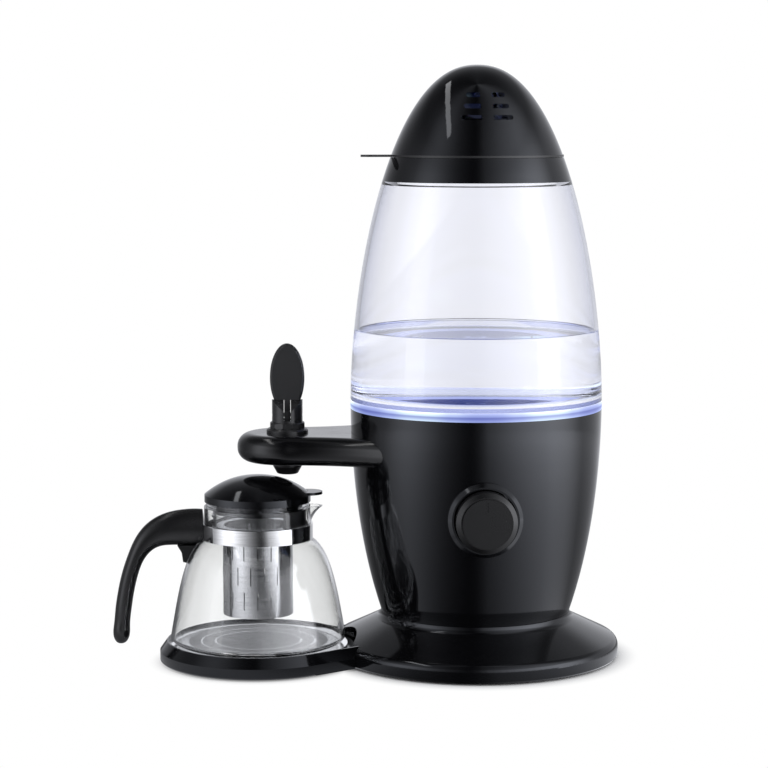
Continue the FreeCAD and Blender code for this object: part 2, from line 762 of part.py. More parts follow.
# ---- tank, collar and lid ----
def make_tank():
    """Clear jar: its foot is stepped in behind the light ring, and its floor is open over the heater."""
    step_z = tank_floor_z + tank_step_height
    wall_z = step_z + tank_cone_height
    foot_radius = light_ring_inner - fit_gap
    foot_inner = foot_radius - tank_wall
    top_z = collar_z + tank_neck_height
    shell = tower_solid(tank_foot_z, collar_z)
    foot = cylinder(foot_radius, tank_under_z, tank_foot_z)
    neck = cylinder(tank_neck_radius, collar_z, top_z)
    inside = tower_solid(wall_z, collar_z - tank_shoulder, tank_wall)
    cone = spin(outline((0, tank_floor_z), (foot_inner, tank_floor_z), (foot_inner, step_z),
                        (tower_radius(wall_z, tank_wall), wall_z), (0, wall_z)))
    way = cylinder(tank_neck_radius - tank_wall, collar_z - tank_shoulder, top_z + 1)
    opening = cylinder(tank_opening_radius, tank_under_z - 1, tank_floor_z)
    return fused([shell, foot, neck]).cut(fused([inside, cone, way, opening]))


def make_collar():
    shell = tower_solid(collar_z + small, lid_plate_z)
    lip = cylinder(collar_lip_radius, collar_z - 1, lid_plate_z + 1)
    seat = cylinder(tank_neck_radius + fit_gap, collar_z - 1, collar_z + tank_neck_height + fit_gap)
    return shell.cut(lip).cut(seat)


def make_lid_plate():
    """Thin plate round the dome's foot, with a skirt that drops into the collar and a tab to lift it by."""
    low = lid_plate_z + running_gap
    plate = cylinder(tower_radius(lid_plate_z), low, lid_seam_z)
    half = tab_width / 2
    tab = box(-tab_reach + half, 0, -half, half, low, lid_seam_z)
    tip = cylinder(half, low, lid_seam_z, -tab_reach + half)
    mouth = lid_skirt_radius - lid_skirt_wall
    skirt = ring(mouth, lid_skirt_radius, lid_plate_z - lid_skirt_depth, lid_seam_z)
    bead = ring(mouth, lid_skirt_radius + lid_bead_depth, lid_plate_z - lid_bead_height, lid_seam_z)
    plate = fused([plate, tab, tip, skirt, bead]).cut(cylinder(mouth, 0, apex_z))
    return turned(plate, lid_turn_deg)


def make_lid_seal():
    low = lid_plate_z - lid_bead_height - lid_seal_height - 1
    return ring(lid_skirt_radius + small, collar_lip_radius - running_gap / 2, low, low + lid_seal_height)


def make_dome_lid():
    dome = tower_solid(lid_seam_z, apex_z).cut(tower_solid(lid_seam_z - small, apex_z - dome_wall, dome_wall))
    slots = []
    for drop, end in zip(vent_drops, vent_ends):
        level = apex_z - drop
        depth = tower_radius(level, dome_wall) * 0.55
        for side in (-1, 1):
            slots.append(rounded_slot(side * vent_gap / 2, side * end, -belly_radius, -depth, level,
                                      vent_height))
    return turned(dome.cut(Part.makeCompound(slots)), lid_turn_deg)


# ---- knob ----
def make_knob_bezel():
    """Bevelled ring that is seated on the curved front of the housing."""
    shoulder_y = bezel_front_y + bezel_slope
    cone = Part.makeCone(bezel_radius, bezel_radius - bezel_slope, bezel_slope, Vector(0, shoulder_y, knob_z),
                         Vector(0, -1, 0))
    body = cone.fuse(rod_y(bezel_radius, shoulder_y, -60, 0, knob_z))
    body = body.cut(rod_y(knob_radius + knob_gap, bezel_front_y - 5, -50, 0, knob_z))
    return body.cut(tower_solid(knob_z - 40, knob_z + 40, -fit_gap))


def make_knob():
    """Cup with a stepped front, a pointer groove and a hub for the shaft."""
    back = knob_front_y + knob_depth
    face_radius = knob_radius - knob_bevel
    inside_y = knob_front_y + knob_wall + knob_step
    half = pointer_width / 2
    face = rod_y(face_radius, knob_front_y, knob_front_y + knob_step, 0, knob_z)
    drum_y = knob_front_y + knob_step * 2
    bevel = Part.makeCone(knob_radius, face_radius + 1, knob_step, Vector(0, drum_y, knob_z), Vector(0, -1, 0))
    drum = rod_y(knob_radius, drum_y, back, 0, knob_z)
    hollow = rod_y(knob_radius - knob_wall, inside_y, back + 1, 0, knob_z)
    hub = rod_y(shaft_radius + hub_wall, knob_front_y + knob_step, back, 0, knob_z)
    pointer = box(-half, half, knob_front_y - 1, knob_front_y + 0.6, knob_z + face_radius / 2,
                  knob_z + face_radius - 2)
    knob = fused([face, bevel, drum]).cut(hollow).fuse(hub).cut(pointer)
    bore = d_shaft(fit_gap / 2, inside_y, back + 1)
    return knob.cut(bore)


def d_shaft(grow, y0, y1):
    """Round shaft with one flat, along Y on the knob's axis."""
    rod = rod_y(shaft_radius + grow, y0, y1, 0, knob_z)
    flat_z = knob_z + shaft_radius - shaft_flat + grow
    return rod.cut(box(-10, 10, y0 - 1, y1 + 1, flat_z, flat_z + 10))


def make_knob_shaft():
    return d_shaft(0.0, knob_front_y + knob_step + knob_wall + fit_gap, switch_front_y + 4)


def make_selector_switch():
    """Rotary thermostat switch with a bush through the housing wall."""
    half = switch_width / 2
    front = switch_front_y
    case = box(-half, half, front, front + switch_depth, knob_z - half, knob_z + half)
    bush_end = boss_front_y - bush_nut_thickness - 1.2
    bush = rod_y(bush_radius, bush_end, front + 2, 0, knob_z)
    blades = [box(x - 0.4, x + 0.4, front + switch_depth, front + switch_depth + 7, knob_z - 3, knob_z + 3)
              for x in (-8, 0, 8)]
    bore = rod_y(shaft_radius + shaft_gap, bush_end - 1, front + 4 + running_gap, 0, knob_z)
    return fused([case, bush] + blades).cut(bore)


def make_switch_nut():
    start = boss_front_y
    corners = [Vector(bush_nut_radius * math.cos(math.radians(60 * i)), start,
                      knob_z + bush_nut_radius * math.sin(math.radians(60 * i))) for i in range(6)]
    nut = Part.Face(Part.makePolygon(corners + corners[:1])).extrude(Vector(0, -bush_nut_thickness, 0))
    return nut.cut(rod_y(bush_radius + fit_gap, start - 5, start + 5, 0, knob_z))


# ---- arm ----
def arm_solid(inset):
    """Round-edged arm: a half circle at the tap, flaring to the width of its root."""
    end = arm_end_radius - inset
    root = arm_root_half_width - inset
    low = arm_bottom_z + inset
    thickness = arm_thickness - inset * 2
    run = arm_root_x - tap_x
    flare = (run * run + (root - end) ** 2) / (2 * (root - end))
    part_way = 0.5 * math.asin(run / flare)
    back_x = arm_root_x + 26
    edges = []
    tip = Part.Arc(Vector(tap_x, end, low), Vector(tap_x - end, 0, low), Vector(tap_x, -end, low))
    edges.append(tip.toShape())
    for side in (-1, 1):
        mid = Vector(tap_x + flare * math.sin(part_way), side * (end + flare * (1 - math.cos(part_way))), low)
        arc = Part.Arc(Vector(tap_x, side * end, low), mid, Vector(arm_root_x, side * root, low))
        edges.append(arc.toShape())
        edges.append(Part.makeLine(Vector(arm_root_x, side * root, low), Vector(back_x, side * root, low)))
    edges.append(Part.makeLine(Vector(back_x, root, low), Vector(back_x, -root, low)))
    wire = Part.Wire(Part.__sortEdges__(edges))
    solid = Part.Face(wire).extrude(Vector(0, 0, thickness))
    rounding = min(arm_rounding - inset, thickness / 2 - 0.4)
    rims = []
    for edge in solid.Edges:
        box_ = edge.BoundBox
        flat = box_.ZLength < small
        closing = box_.XMin > back_x - small
        if flat and not closing:
            rims.append(edge)
    return solid.makeFillet(rounding, rims)


def arm_post_places():
    half = arm_post_spacing / 2
    return [(tap_x + arm_post_offset, -half), (tap_x + arm_post_offset, half)]


def arm_shell():
    """Whole arm as a hollow moulding, trimmed to the side of the tower."""
    outside = tower_solid(arm_bottom_z - 8, arm_top_z + 8, -fit_gap)
    shell = arm_solid(0.0).cut(arm_solid(arm_wall))
    posts = [cylinder(arm_post_radius, arm_bottom_z + 1, arm_top_z - 1, x, y) for x, y in arm_post_places()]
    sleeve = ring(tap_body_radius + fit_gap, tap_body_radius + 2.2, arm_bottom_z + 1, arm_top_z - 1, tap_x)
    shell = shell.multiFuse(posts + [sleeve]).cut(outside)
    shell = shell.cut(cylinder(tap_body_radius + fit_gap, arm_bottom_z - 1, arm_top_z + 1, tap_x))
    return shell.cut(rod_x(pipe_radius + running_gap, tap_x, -60, 0, arm_seam_z))


def make_arm_upper(shell):
    upper = shell.common(box(-300, 0, -150, 150, arm_seam_z + small, arm_top_z + 1))
    pilots = [cylinder(arm_screw_radius + screw_gap, arm_seam_z - 1, arm_top_z - arm_wall - 1, x, y)
              for x, y in arm_post_places()]
    return upper.cut(Part.makeCompound(pilots))


def make_arm_lower(shell):
    lower = shell.common(box(-300, 0, -150, 150, arm_bottom_z - 1, arm_seam_z - small))
    holes = []
    for x, y in arm_post_places():
        holes.append(cylinder(arm_screw_radius + screw_gap, arm_bottom_z - 1, arm_seam_z + 1, x, y))
        holes.append(cylinder(arm_screw_radius * 2, arm_bottom_z - 1, arm_bottom_z + 1.6, x, y))
    return lower.cut(Part.makeCompound(holes))


def make_arm_screws():
    screws = []
    for x, y in arm_post_places():
        screw = screw_up(arm_bottom_z, arm_top_z - arm_wall - 2, arm_screw_radius, arm_screw_radius * 1.9, 1.5)
        screws.append(screw.translated(Vector(x, y, 0.1)))
    return Part.makeCompound(screws)


def make_water_pipe():
    """Silicone pipe from the heater plate, down, round one bend and out along the arm to the tap."""
    def tube(radius):
        bend_x = pipe_start_x - pipe_bend_radius
        bend_z = arm_seam_z + pipe_bend_radius
        down = cylinder(radius, bend_z, heater_under_z, pipe_start_x)
        turn = Part.Face(Part.Wire(Part.makeCircle(radius, Vector(pipe_start_x, 0, bend_z), UP)))
        bend = turn.revolve(Vector(bend_x, 0, bend_z), ALONG_Y, 90)
        level = rod_x(radius, tap_x + tap_body_radius + fit_gap, bend_x, 0, arm_seam_z)
        return fused([down, bend, level])
    return tube(pipe_radius).cut(tube(pipe_bore))


# ---- tap: drawn round the Z axis, then moved to the end of the arm ----
def make_tap_body():
    """Brass body with the seat, the guide for the stem and the pocket for its spring."""
    guide_z = pocket_z - stem_guide_height
    body = cylinder(tap_body_radius, arm_bottom_z + small, nut_top_z)
    body = body.cut(cylinder(spring_pocket_radius, pocket_z, nut_top_z + 1))
    body = body.cut(cylinder(stem_radius + stem_gap, guide_z - 1, pocket_z + 1))
    body = body.cut(cylinder(spring_pocket_radius, seat_z, guide_z))
    body = body.cut(cylinder(seat_radius, seat_z - seat_thickness - 1, seat_z + 1))
    body = body.cut(cylinder(nozzle_bore, arm_bottom_z - 1, seat_z - seat_thickness))
    inlet = rod_x(water_way_radius, 0, tap_body_radius + 1, 0, arm_seam_z)
    return at_tap(body.cut(inlet))


def make_tap_flange():
    washer = spin(outline((tap_body_radius + fit_gap, arm_top_z), (flange_radius, arm_top_z),
                          (flange_radius, flange_top_z - 1.2), (flange_radius - 1.2, flange_top_z),
                          (tap_body_radius + fit_gap, flange_top_z)))
    return at_tap(washer)


def make_ring_nut():
    corners = []
    for index in range(nut_sides):
        angle = 2 * math.pi * (index + 0.5) / nut_sides
        corners.append(Vector(nut_radius * math.cos(angle), nut_radius * math.sin(angle), flange_top_z))
    prism = Part.Face(Part.makePolygon(corners + corners[:1])).extrude(Vector(0, 0, nut_height))
    bevel = spin(outline((0, flange_top_z), (nut_radius - 0.3, flange_top_z), (nut_radius, flange_top_z + 1),
                         (nut_radius, nut_top_z - 1), (nut_radius - 0.8, nut_top_z), (0, nut_top_z)))
    bore = cylinder(tap_body_radius + fit_gap, flange_top_z - 1, nut_top_z + 1)
    return at_tap(prism.common(bevel).cut(bore))


def make_tap_collar():
    """Slotted collar that carries the lever's pin; its top is round about that pin."""
    top_z = pin_z + collar_top_radius
    drum = cylinder(collar_radius, nut_top_z, top_z)
    arch = rod_x(collar_top_radius, -20, 20, 0, pin_z).fuse(box(-20, 20, -20, 20, nut_top_z - 1, pin_z))
    drum = drum.common(arch)
    half = slot_width / 2
    drum = drum.cut(box(-half, half, -20, 20, nut_top_z + 1.5, top_z + 1))
    drum = drum.cut(box(-half, half, -7, 7, nut_top_z - 1, top_z + 1))
    drum = drum.cut(cylinder(stem_head_radius + running_gap, nut_top_z - 1, nut_top_z + 1.2))
    return at_tap(drum.cut(rod_x(pin_radius + shaft_gap, -20, 20, 0, pin_z)))


def make_nozzle():
    rounding = 2.2
    skin = spin(outline(
        (nozzle_bore, arm_bottom_z), (nozzle_radius, arm_bottom_z), (nozzle_radius - 0.4, arm_bottom_z - 4),
        (nozzle_tip_radius + 0.7, nozzle_z + 1.4),
        (nozzle_tip_radius, nozzle_z + 0.4, nozzle_tip_radius - rounding / 2, nozzle_z),
        (nozzle_bore, nozzle_z)))
    return at_tap(skin)


def make_valve_stem():
    low = seat_z - seat_thickness - running_gap - washer_thickness
    shank = cylinder(stem_radius, low, stem_top_z)
    head = cylinder(stem_head_radius, stem_top_z - stem_head_thickness, stem_top_z)
    return at_tap(shank.fuse(head))


def make_valve_washer():
    low = seat_z - seat_thickness - running_gap - washer_thickness
    return at_tap(ring(stem_radius + small, washer_radius, low, low + washer_thickness))


def make_valve_spring():
    low = pocket_z + spring_wire + small
    high = stem_top_z - stem_head_thickness - spring_wire - small
    helix = Part.makeHelix((high - low) / spring_turns, high - low, spring_radius)
    section = Part.Wire(Part.makeCircle(spring_wire, Vector(spring_radius, 0, 0), ALONG_Y))
    coil = Part.Wire(helix).makePipeShell([section], True, False)
    coil.translate(Vector(0, 0, low))
    return at_tap(coil)


def paddle_oval(y, inset):
    top = Vector(0, 0, paddle_half_height - inset)
    side = Vector(paddle_half_width - inset, 0, 0)
    wire = Part.Wire(Part.Ellipse(top, side, Vector(0, 0, 0)).toShape())
    wire.translate(Vector(0, y, paddle_centre_z))
    return wire


def make_lever_paddle():
    """Oval paddle with a tongue in the collar's slot; the tongue's square end presses the stem."""
    half = paddle_thickness / 2
    edge = paddle_bevel
    plate = Part.makeLoft([paddle_oval(-half, edge), paddle_oval(edge - half, 0), paddle_oval(half - edge, 0),
                           paddle_oval(half, edge)], True, True)
    plate = plate.cut(rod_x(collar_top_radius + running_gap, -30, 30, 0, pin_z))
    plate = plate.cut(box(-30, 30, -30, 30, pin_z - 60, pin_z))
    cam = tongue_cam_half_width
    side = tongue_plate / 2
    neck = box(-side, side, 0.3 - half, half - 0.3, pin_z, pin_z + collar_top_radius + 3)
    foot = box(-side, side, -cam, cam, cam_bottom_z, pin_z + 3)
    lever = fused([plate, neck, foot]).cut(rod_x(pin_radius + small, -20, 20, 0, pin_z))
    return at_tap(lever)


def make_lever_pin():
    return at_tap(rod_x(pin_radius, -collar_radius + 0.3, collar_radius - 0.3, 0, pin_z))


# ---- teapot: drawn round the Z axis, then moved to its place on the tray ----
def pot_solid(inset):
    """Solid inside the glass: a rounded foot, a bell-shaped side and a straight neck."""
    low = pot_z + inset
    corner_z = pot_z + pot_corner_height
    foot = pot_base_radius - inset * 0.6
    belly = pot_belly_radius - inset
    neck = pot_neck_radius - inset
    start = Vector(belly, 0, corner_z)
    end = Vector(neck, 0, neck_glass_z - inset * 0.4)
    rise = end.z - start.z
    lean = Vector(belly - 4.7, 0, start.z + rise * 0.36)
    shoulder = Vector(belly - 9.2, 0, end.z - rise * 0.1)
    side = Part.BezierCurve()
    side.setPoles([start, lean, shoulder, end])
    quarter = 0.55       # pole distance that makes a quarter of an ellipse
    corner = Part.BezierCurve()
    corner.setPoles([Vector(foot, 0, low), Vector(foot + (belly - foot) * quarter, 0, low),
                     Vector(belly, 0, corner_z - (corner_z - low) * quarter), start])
    edges = [
        Part.makeLine(Vector(0, 0, low), Vector(foot, 0, low)),
        corner.toShape(),
        side.toShape(),
        Part.makeLine(end, Vector(neck, 0, pot_rim_z)),
        Part.makeLine(Vector(neck, 0, pot_rim_z), Vector(0, 0, pot_rim_z)),
        Part.makeLine(Vector(0, 0, pot_rim_z), Vector(0, 0, low)),
    ]
    return spin(Part.Wire(edges))


def spout_solid(inset):
    """Pouring lip that curls out of the neck towards the rim."""
    root = spout_radius - inset
    inner = pot_neck_radius - spout_radius - 1.0
    tip = spout_reach - spout_radius
    stops = [(inner, spout_drop), (inner + (tip - inner) * 0.3, spout_drop / 2), (tip, 0)]
    rounds = [Part.Wire(Part.makeCircle(root, Vector(x, 0, pot_rim_z - drop), UP)) for x, drop in stops]
    return Part.makeLoft(rounds, True, False)


def make_pot_glass():
    outer = pot_solid(0.0).fuse(spout_solid(0.0))
    inner = pot_solid(glass_wall).fuse(spout_solid(glass_wall))
    return at_pot(outer.cut(inner))


def make_neck_band():
    """Steel band round the neck, open at the spout and closed by the handle's screw."""
    band = ring(band_outer - band_wall, band_outer, band_z, band_z + band_height)
    hole = rod_x(handle_screw_head + screw_gap, -pot_neck_radius * 2, 0, 0, handle_screw_z)
    return at_pot(band.cut(spout_solid(-fit_gap * 2)).cut(hole))


def handle_line():
    """Centre line of the grip, from its tip up, over and in to the neck."""
    tip = pot_belly_radius + grip_reach
    tip_z = pot_z + grip_tip_rise
    root_z = handle_screw_z + root_rise
    rise = root_z - tip_z
    line = Part.BezierCurve()
    line.setPoles([Vector(-tip, 0, tip_z), Vector(-tip, 0, tip_z + rise * 0.34),
                   Vector(-tip + 9.6, 0, root_z + rise * 0.055), Vector(-tip * 0.78, 0, root_z),
                   Vector(-root_reach, 0, root_z)])
    return line


def handle_section(line, share):
    """Oval section square to the centre line: slim in the grip, deep at the root, round at the tip."""
    swell = min(1.0, max(0.0, (share - 0.4) * 2))
    half_depth = grip_half_depth + (root_half_depth - grip_half_depth) * swell * swell * (3 - 2 * swell)
    blunt = 1 - min(1.0, share / 0.05)
    half_depth = half_depth * math.sqrt(1 - 0.9 * blunt * blunt)
    half_width = handle_half_width * min(1.0, half_depth / grip_half_depth)
    stretch = FreeCAD.Matrix()
    stretch.scale(Vector(1, half_width, half_depth))
    oval = Part.Wire(Part.makeCircle(1, Vector(0, 0, 0), ALONG_X)).transformGeometry(stretch)
    heading = line.tangent(share)[0]
    oval.rotate(Vector(0, 0, 0), ALONG_Y, -math.degrees(math.atan2(heading.z, heading.x)))
    oval.translate(line.value(share))
    return oval


def make_pot_handle():
    """Hook-shaped grip lofted through oval sections, with a claw under its root."""
    line = handle_line()
    shares = [0.0, 0.012] + [0.04 + 0.96 * index / grip_stations for index in range(grip_stations + 1)]
    grip = Part.makeLoft([handle_section(line, share) for share in shares], True, False)
    root = band_outer
    top = handle_screw_z + root_rise - root_half_depth
    low = top - claw_depth
    corners = [(root + claw_reach, top), (root + claw_reach - 3, top - claw_thickness),
               (root + claw_reach - 4, low + 1), (root + claw_reach - 8, low), (root - 2, top)]
    profile = [Vector(-out, -claw_width / 2, z) for out, z in corners]
    claw = Part.Face(Part.makePolygon(profile + profile[:1])).extrude(Vector(0, claw_width, 0))
    band = cylinder(band_outer + fit_gap, pot_z, pot_rim_z + 40)
    pilot = rod_x(screw_shank_radius + screw_gap, -band_outer - handle_screw_length - 1, 0, 0, handle_screw_z)
    return at_pot(grip.fuse(claw).cut(band).cut(pot_solid(-running_gap)).cut(pilot))


def make_infuser():
    """Steel basket hung from the holder: a deep cup with rows of fine slits."""
    top = pot_rim_z - holder_depth
    low = top - infuser_depth
    inside = cylinder(infuser_radius - infuser_wall, low + infuser_wall, top + 1)
    cup = cylinder(infuser_radius, low, top).cut(inside)
    rim = ring(infuser_radius - infuser_wall, holder_radius - infuser_rim_inset, top - infuser_wall, top)
    basket = cup.fuse(rim)
    pitch = (infuser_depth - infuser_plain_ends) / infuser_slit_rows
    half = infuser_slit_width / 2
    cuts = []
    for row in range(infuser_slit_rows):
        slit_z = low + infuser_plain_ends / 2 + row * pitch
        slit = box(infuser_radius - 3, infuser_radius + 2, -half, half, slit_z, slit_z + infuser_slit_height)
        cuts += around(slit, infuser_slit_columns, (row % 2) * 180.0 / infuser_slit_columns)
    return at_pot(basket.cut(Part.makeCompound(cuts)))


def make_infuser_holder():
    """Clear ring that rests on the glass rim and carries the basket."""
    top = pot_rim_z + holder_flange_height
    middle = pot_rim_z - holder_depth / 2
    tube = ring(holder_radius - holder_wall, holder_radius, pot_rim_z - holder_depth, top)
    flange = ring(holder_radius - holder_wall, pot_neck_radius - holder_flange_inset, pot_rim_z, top)
    bead = ring(holder_radius - small, holder_radius + holder_bead, middle, middle + holder_bead_height)
    return at_pot(fused([tube, flange, bead]))


def make_holder_clip():
    """Black catch between the holder and the neck, beside the spout."""
    low = pot_rim_z - holder_depth + 1
    step_z = pot_rim_z - holder_depth / 2 - fit_gap
    outer = pot_neck_radius - glass_wall - fit_gap
    blank = ring(holder_radius + small, outer, low, step_z)
    upper = ring(holder_radius + holder_bead + fit_gap, outer, step_z, pot_rim_z)
    wedge = Part.makeCylinder(60, 40, Vector(0, 0, low - 5), UP, clip_sweep_deg)
    wedge.rotate(Vector(0, 0, 0), UP, clip_start_deg)
    return at_pot(blank.fuse(upper).common(wedge))


def lid_dome_solid(inset):
    radius = pot_neck_radius - pot_lid_inset - inset
    low = pot_rim_z + holder_flange_height + running_gap
    side = low + pot_lid_side
    crown = side + pot_lid_dome - inset
    points = []
    count = 6
    for index in range(count + 1):
        share = 1 - index / count
        z = side - inset * 0.5 + (crown - side + inset * 0.5) * (1 - share ** pot_lid_power)
        points.append(Vector(radius * share, 0, z))
    curve = Part.BSplineCurve()
    curve.interpolate(points)
    edges = [
        Part.makeLine(Vector(0, 0, low - inset), Vector(radius, 0, low - inset)),
        Part.makeLine(Vector(radius, 0, low - inset), points[0]),
        curve.toShape(),
        Part.makeLine(points[-1], Vector(0, 0, low - inset)),
    ]
    return spin(Part.Wire(edges))


def make_pot_lid():
    """Domed lid with a tongue over the spout and a spigot that turns inside the holder."""
    low = pot_rim_z + holder_flange_height + running_gap
    shell = lid_dome_solid(0.0).cut(lid_dome_solid(pot_lid_wall))
    spigot_outer = holder_radius - holder_wall - running_gap
    crown_z = low + pot_lid_side + pot_lid_dome
    spigot = ring(spigot_outer - spigot_wall, spigot_outer, low - lid_spigot_depth, crown_z)
    spigot = spigot.common(lid_dome_solid(pot_lid_wall / 2).fuse(cylinder(spigot_outer, low - 30, low + 1)))
    half = lid_tongue_width / 2
    rim = pot_neck_radius - pot_lid_inset
    tip_x = spout_reach - fit_gap - half
    tongue_z = low + pot_lid_side - 0.2
    tongue = box(rim - 6, tip_x, -half, half, tongue_z, tongue_z + lid_tongue_thickness)
    tip = cylinder(half, tongue_z, tongue_z + lid_tongue_thickness, tip_x)
    tongue = tongue.fuse(tip).cut(cylinder(rim - 2, tongue_z - 1, tongue_z + 10))
    return at_pot(fused([shell, spigot, tongue]))


def make_handle_screw():
    """Screw through the band into the root of the handle, its head flush inside the band."""
    head = rod_x(handle_screw_head, -band_outer + small, -pot_neck_radius - fit_gap, 0, handle_screw_z)
    shank = rod_x(screw_shank_radius, -band_outer - handle_screw_length, -band_outer + small, 0, handle_screw_z)
    return at_pot(head.fuse(shank))


def main():
    os.makedirs("parts", exist_ok=True)
    shell = arm_shell()
    pieces = {
        "base_plinth": make_base_plinth(),
        "base_bottom_plate": make_bottom_plate(),
        "base_foot_ring": ring(foot_ring_inner, foot_ring_outer, 0, base_floor_gap),
        "base_screws": make_base_screws(),
        "cord_gland": make_cord_gland(),
        "control_board": make_control_board(),
        "pot_tray": make_pot_tray(),
        "tray_plate": make_tray_plate(),
        "tray_feet": make_tray_feet(),
        "tray_screws": make_tray_screws(),
        "lower_housing": make_lower_housing(),
        "housing_screws": make_housing_screws(),
        "support_deck": make_support_deck(),
        "deck_screws": make_deck_screws(),
        "heater_plate": make_heater_plate(),
        "heater_casting": make_heater_casting(),
        "thermostat": make_thermostat(),
        "tank_seal": make_tank_seal(),
        "led_board": make_led_board(),
        "light_ring": make_light_ring(),
        "tank": make_tank(),
        "collar": make_collar(),
        "dome_lid": make_dome_lid(),
        "lid_plate": make_lid_plate(),
        "lid_seal": make_lid_seal(),
        "knob_bezel": make_knob_bezel(),
        "knob": make_knob(),
        "knob_shaft": make_knob_shaft(),
        "selector_switch": make_selector_switch(),
        "switch_nut": make_switch_nut(),
        "arm_upper": make_arm_upper(shell),
        "arm_lower": make_arm_lower(shell),
        "arm_screws": make_arm_screws(),
        "water_pipe": make_water_pipe(),
        "tap_body": make_tap_body(),
        "tap_flange": make_tap_flange(),
        "ring_nut": make_ring_nut(),
        "tap_collar": make_tap_collar(),
        "nozzle": make_nozzle(),
        "valve_stem": make_valve_stem(),
        "valve_washer": make_valve_washer(),
        "valve_spring": make_valve_spring(),
        "lever_paddle": make_lever_paddle(),
        "lever_pin": make_lever_pin(),
        "pot_glass": make_pot_glass(),
        "neck_band": make_neck_band(),
        "pot_handle": make_pot_handle(),
        "handle_screw": make_handle_screw(),
        "infuser": make_infuser(),
        "infuser_holder": make_infuser_holder(),
        "holder_clip": make_holder_clip(),
        "pot_lid": make_pot_lid(),
    }
    for name, shape in pieces.items():
        save(name, shape)


main()
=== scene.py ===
"""Looks of an automatic tea maker: black mouldings, a water tank over a painted glow, a lever tap and a glass
teapot.
"""
import math

import bmesh
import bpy
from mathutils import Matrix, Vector


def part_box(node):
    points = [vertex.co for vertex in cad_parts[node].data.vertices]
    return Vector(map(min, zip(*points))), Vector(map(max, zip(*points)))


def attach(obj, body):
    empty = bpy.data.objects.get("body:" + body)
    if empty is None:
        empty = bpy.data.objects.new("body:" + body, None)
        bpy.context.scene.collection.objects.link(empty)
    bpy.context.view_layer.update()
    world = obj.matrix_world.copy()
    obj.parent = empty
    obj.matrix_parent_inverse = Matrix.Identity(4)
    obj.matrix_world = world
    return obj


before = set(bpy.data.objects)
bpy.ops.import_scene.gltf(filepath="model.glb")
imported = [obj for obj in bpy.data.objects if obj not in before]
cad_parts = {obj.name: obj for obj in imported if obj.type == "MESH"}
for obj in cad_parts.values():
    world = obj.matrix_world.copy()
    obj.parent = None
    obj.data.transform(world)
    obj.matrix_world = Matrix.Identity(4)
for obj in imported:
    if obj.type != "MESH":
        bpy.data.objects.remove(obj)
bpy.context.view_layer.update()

# ---------------------------------------------------------------------------------------------
# Camera.
# It stands 1.7 m away at the height of the tank, a little to the left of the knob's axis, and
# looks slightly down and to the left, so that the tower stands to the right of the middle.
camera_distance = 1.728
camera_height = 0.3902
camera_bearing = math.radians(4.5)
camera_down = math.radians(6.363)
camera_left = math.radians(2.199)
sensor_mm = 36.0
lens_mm = 112.9547

camera_data = bpy.data.cameras.new("camera")
camera_data.sensor_width = sensor_mm
camera_data.lens = lens_mm
camera = bpy.data.objects.new("camera", camera_data)
camera.location = (-camera_distance * math.sin(camera_bearing), -camera_distance * math.cos(camera_bearing),
                   camera_height)
camera.rotation_euler = (math.radians(90) - camera_down, 0.0, camera_left - camera_bearing)
bpy.context.scene.collection.objects.link(camera)
bpy.context.scene.camera = camera
bpy.context.scene.view_settings.view_transform = "Standard"

# ---------------------------------------------------------------------------------------------
# Studio.
# A white table top runs out into a white surround. Seen in gloss and steel, the room is dark in
# front, has a broad soft panel on each side, the right one brighter, and is white behind.
table_radius = 1.1
table_corners = 128
table_paint = (0.86, 0.86, 0.86, 1)
surround_white = (1.0, 1.0, 1.0, 1)
ambient_light = (0.80, 0.81, 0.84, 1)
shadow_from = -0.006
shadow_to = 0.016
panel_strength = 4.4
panel_tint = (0.97, 0.985, 1.045, 1)
behind = 0.24
beside = 0.04
left_panel = 0.55
right_panel = 1.0
# brightness round the room, by share of a turn: 0 is behind, 0.25 left, 0.5 in front, 0.75 right
room_panels = ((0.0, behind), (0.12, beside), (0.25, beside), (0.325, left_panel), (0.40, 0.25 * left_panel),
               (0.47, 0.0), (0.53, 0.0), (0.68, right_panel), (0.75, 0.6 * right_panel), (0.81, beside),
               (1.0, behind))
# its share by height: 0 is straight down, 0.5 level and 1 straight up
room_levels = ((0.0, 0.10), (0.33, 0.36), (0.44, 0.95), (0.68, 1.0), (0.80, 0.42), (1.0, 0.15))
# its share on the table, by distance from the tower's axis in metres
table_levels = ((0.0, 0.25), (0.35, 0.50), (0.95, 1.0))


def new_tree(material):
    """Empties a material's or world's node tree and returns its nodes and links."""
    material.use_nodes = True
    material.node_tree.nodes.clear()
    return material.node_tree.nodes, material.node_tree.links


def feed(links, socket, value):
    """Sets a socket to a number, vector or colour, or links another socket to it."""
    if isinstance(value, bpy.types.NodeSocket):
        links.new(value, socket)
    else:
        socket.default_value = value


def maths(nodes, links, operation, *values):
    """Math node; each value is a number or a socket."""
    node = nodes.new("ShaderNodeMath")
    node.operation = operation
    for socket, value in zip(node.inputs, values):
        feed(links, socket, value)
    return node.outputs[0]


def vector_maths(nodes, links, operation, *values):
    """Vector Math node; each value is a vector or a socket."""
    node = nodes.new("ShaderNodeVectorMath")
    node.operation = operation
    for socket, value in zip(node.inputs, values):
        feed(links, socket, value)
    return node.outputs["Value" if operation in ("DISTANCE", "LENGTH") else "Vector"]


def split_xyz(nodes, links, vector):
    """The three parts of a vector."""
    node = nodes.new("ShaderNodeSeparateXYZ")
    links.new(vector, node.inputs["Vector"])
    return tuple(node.outputs)


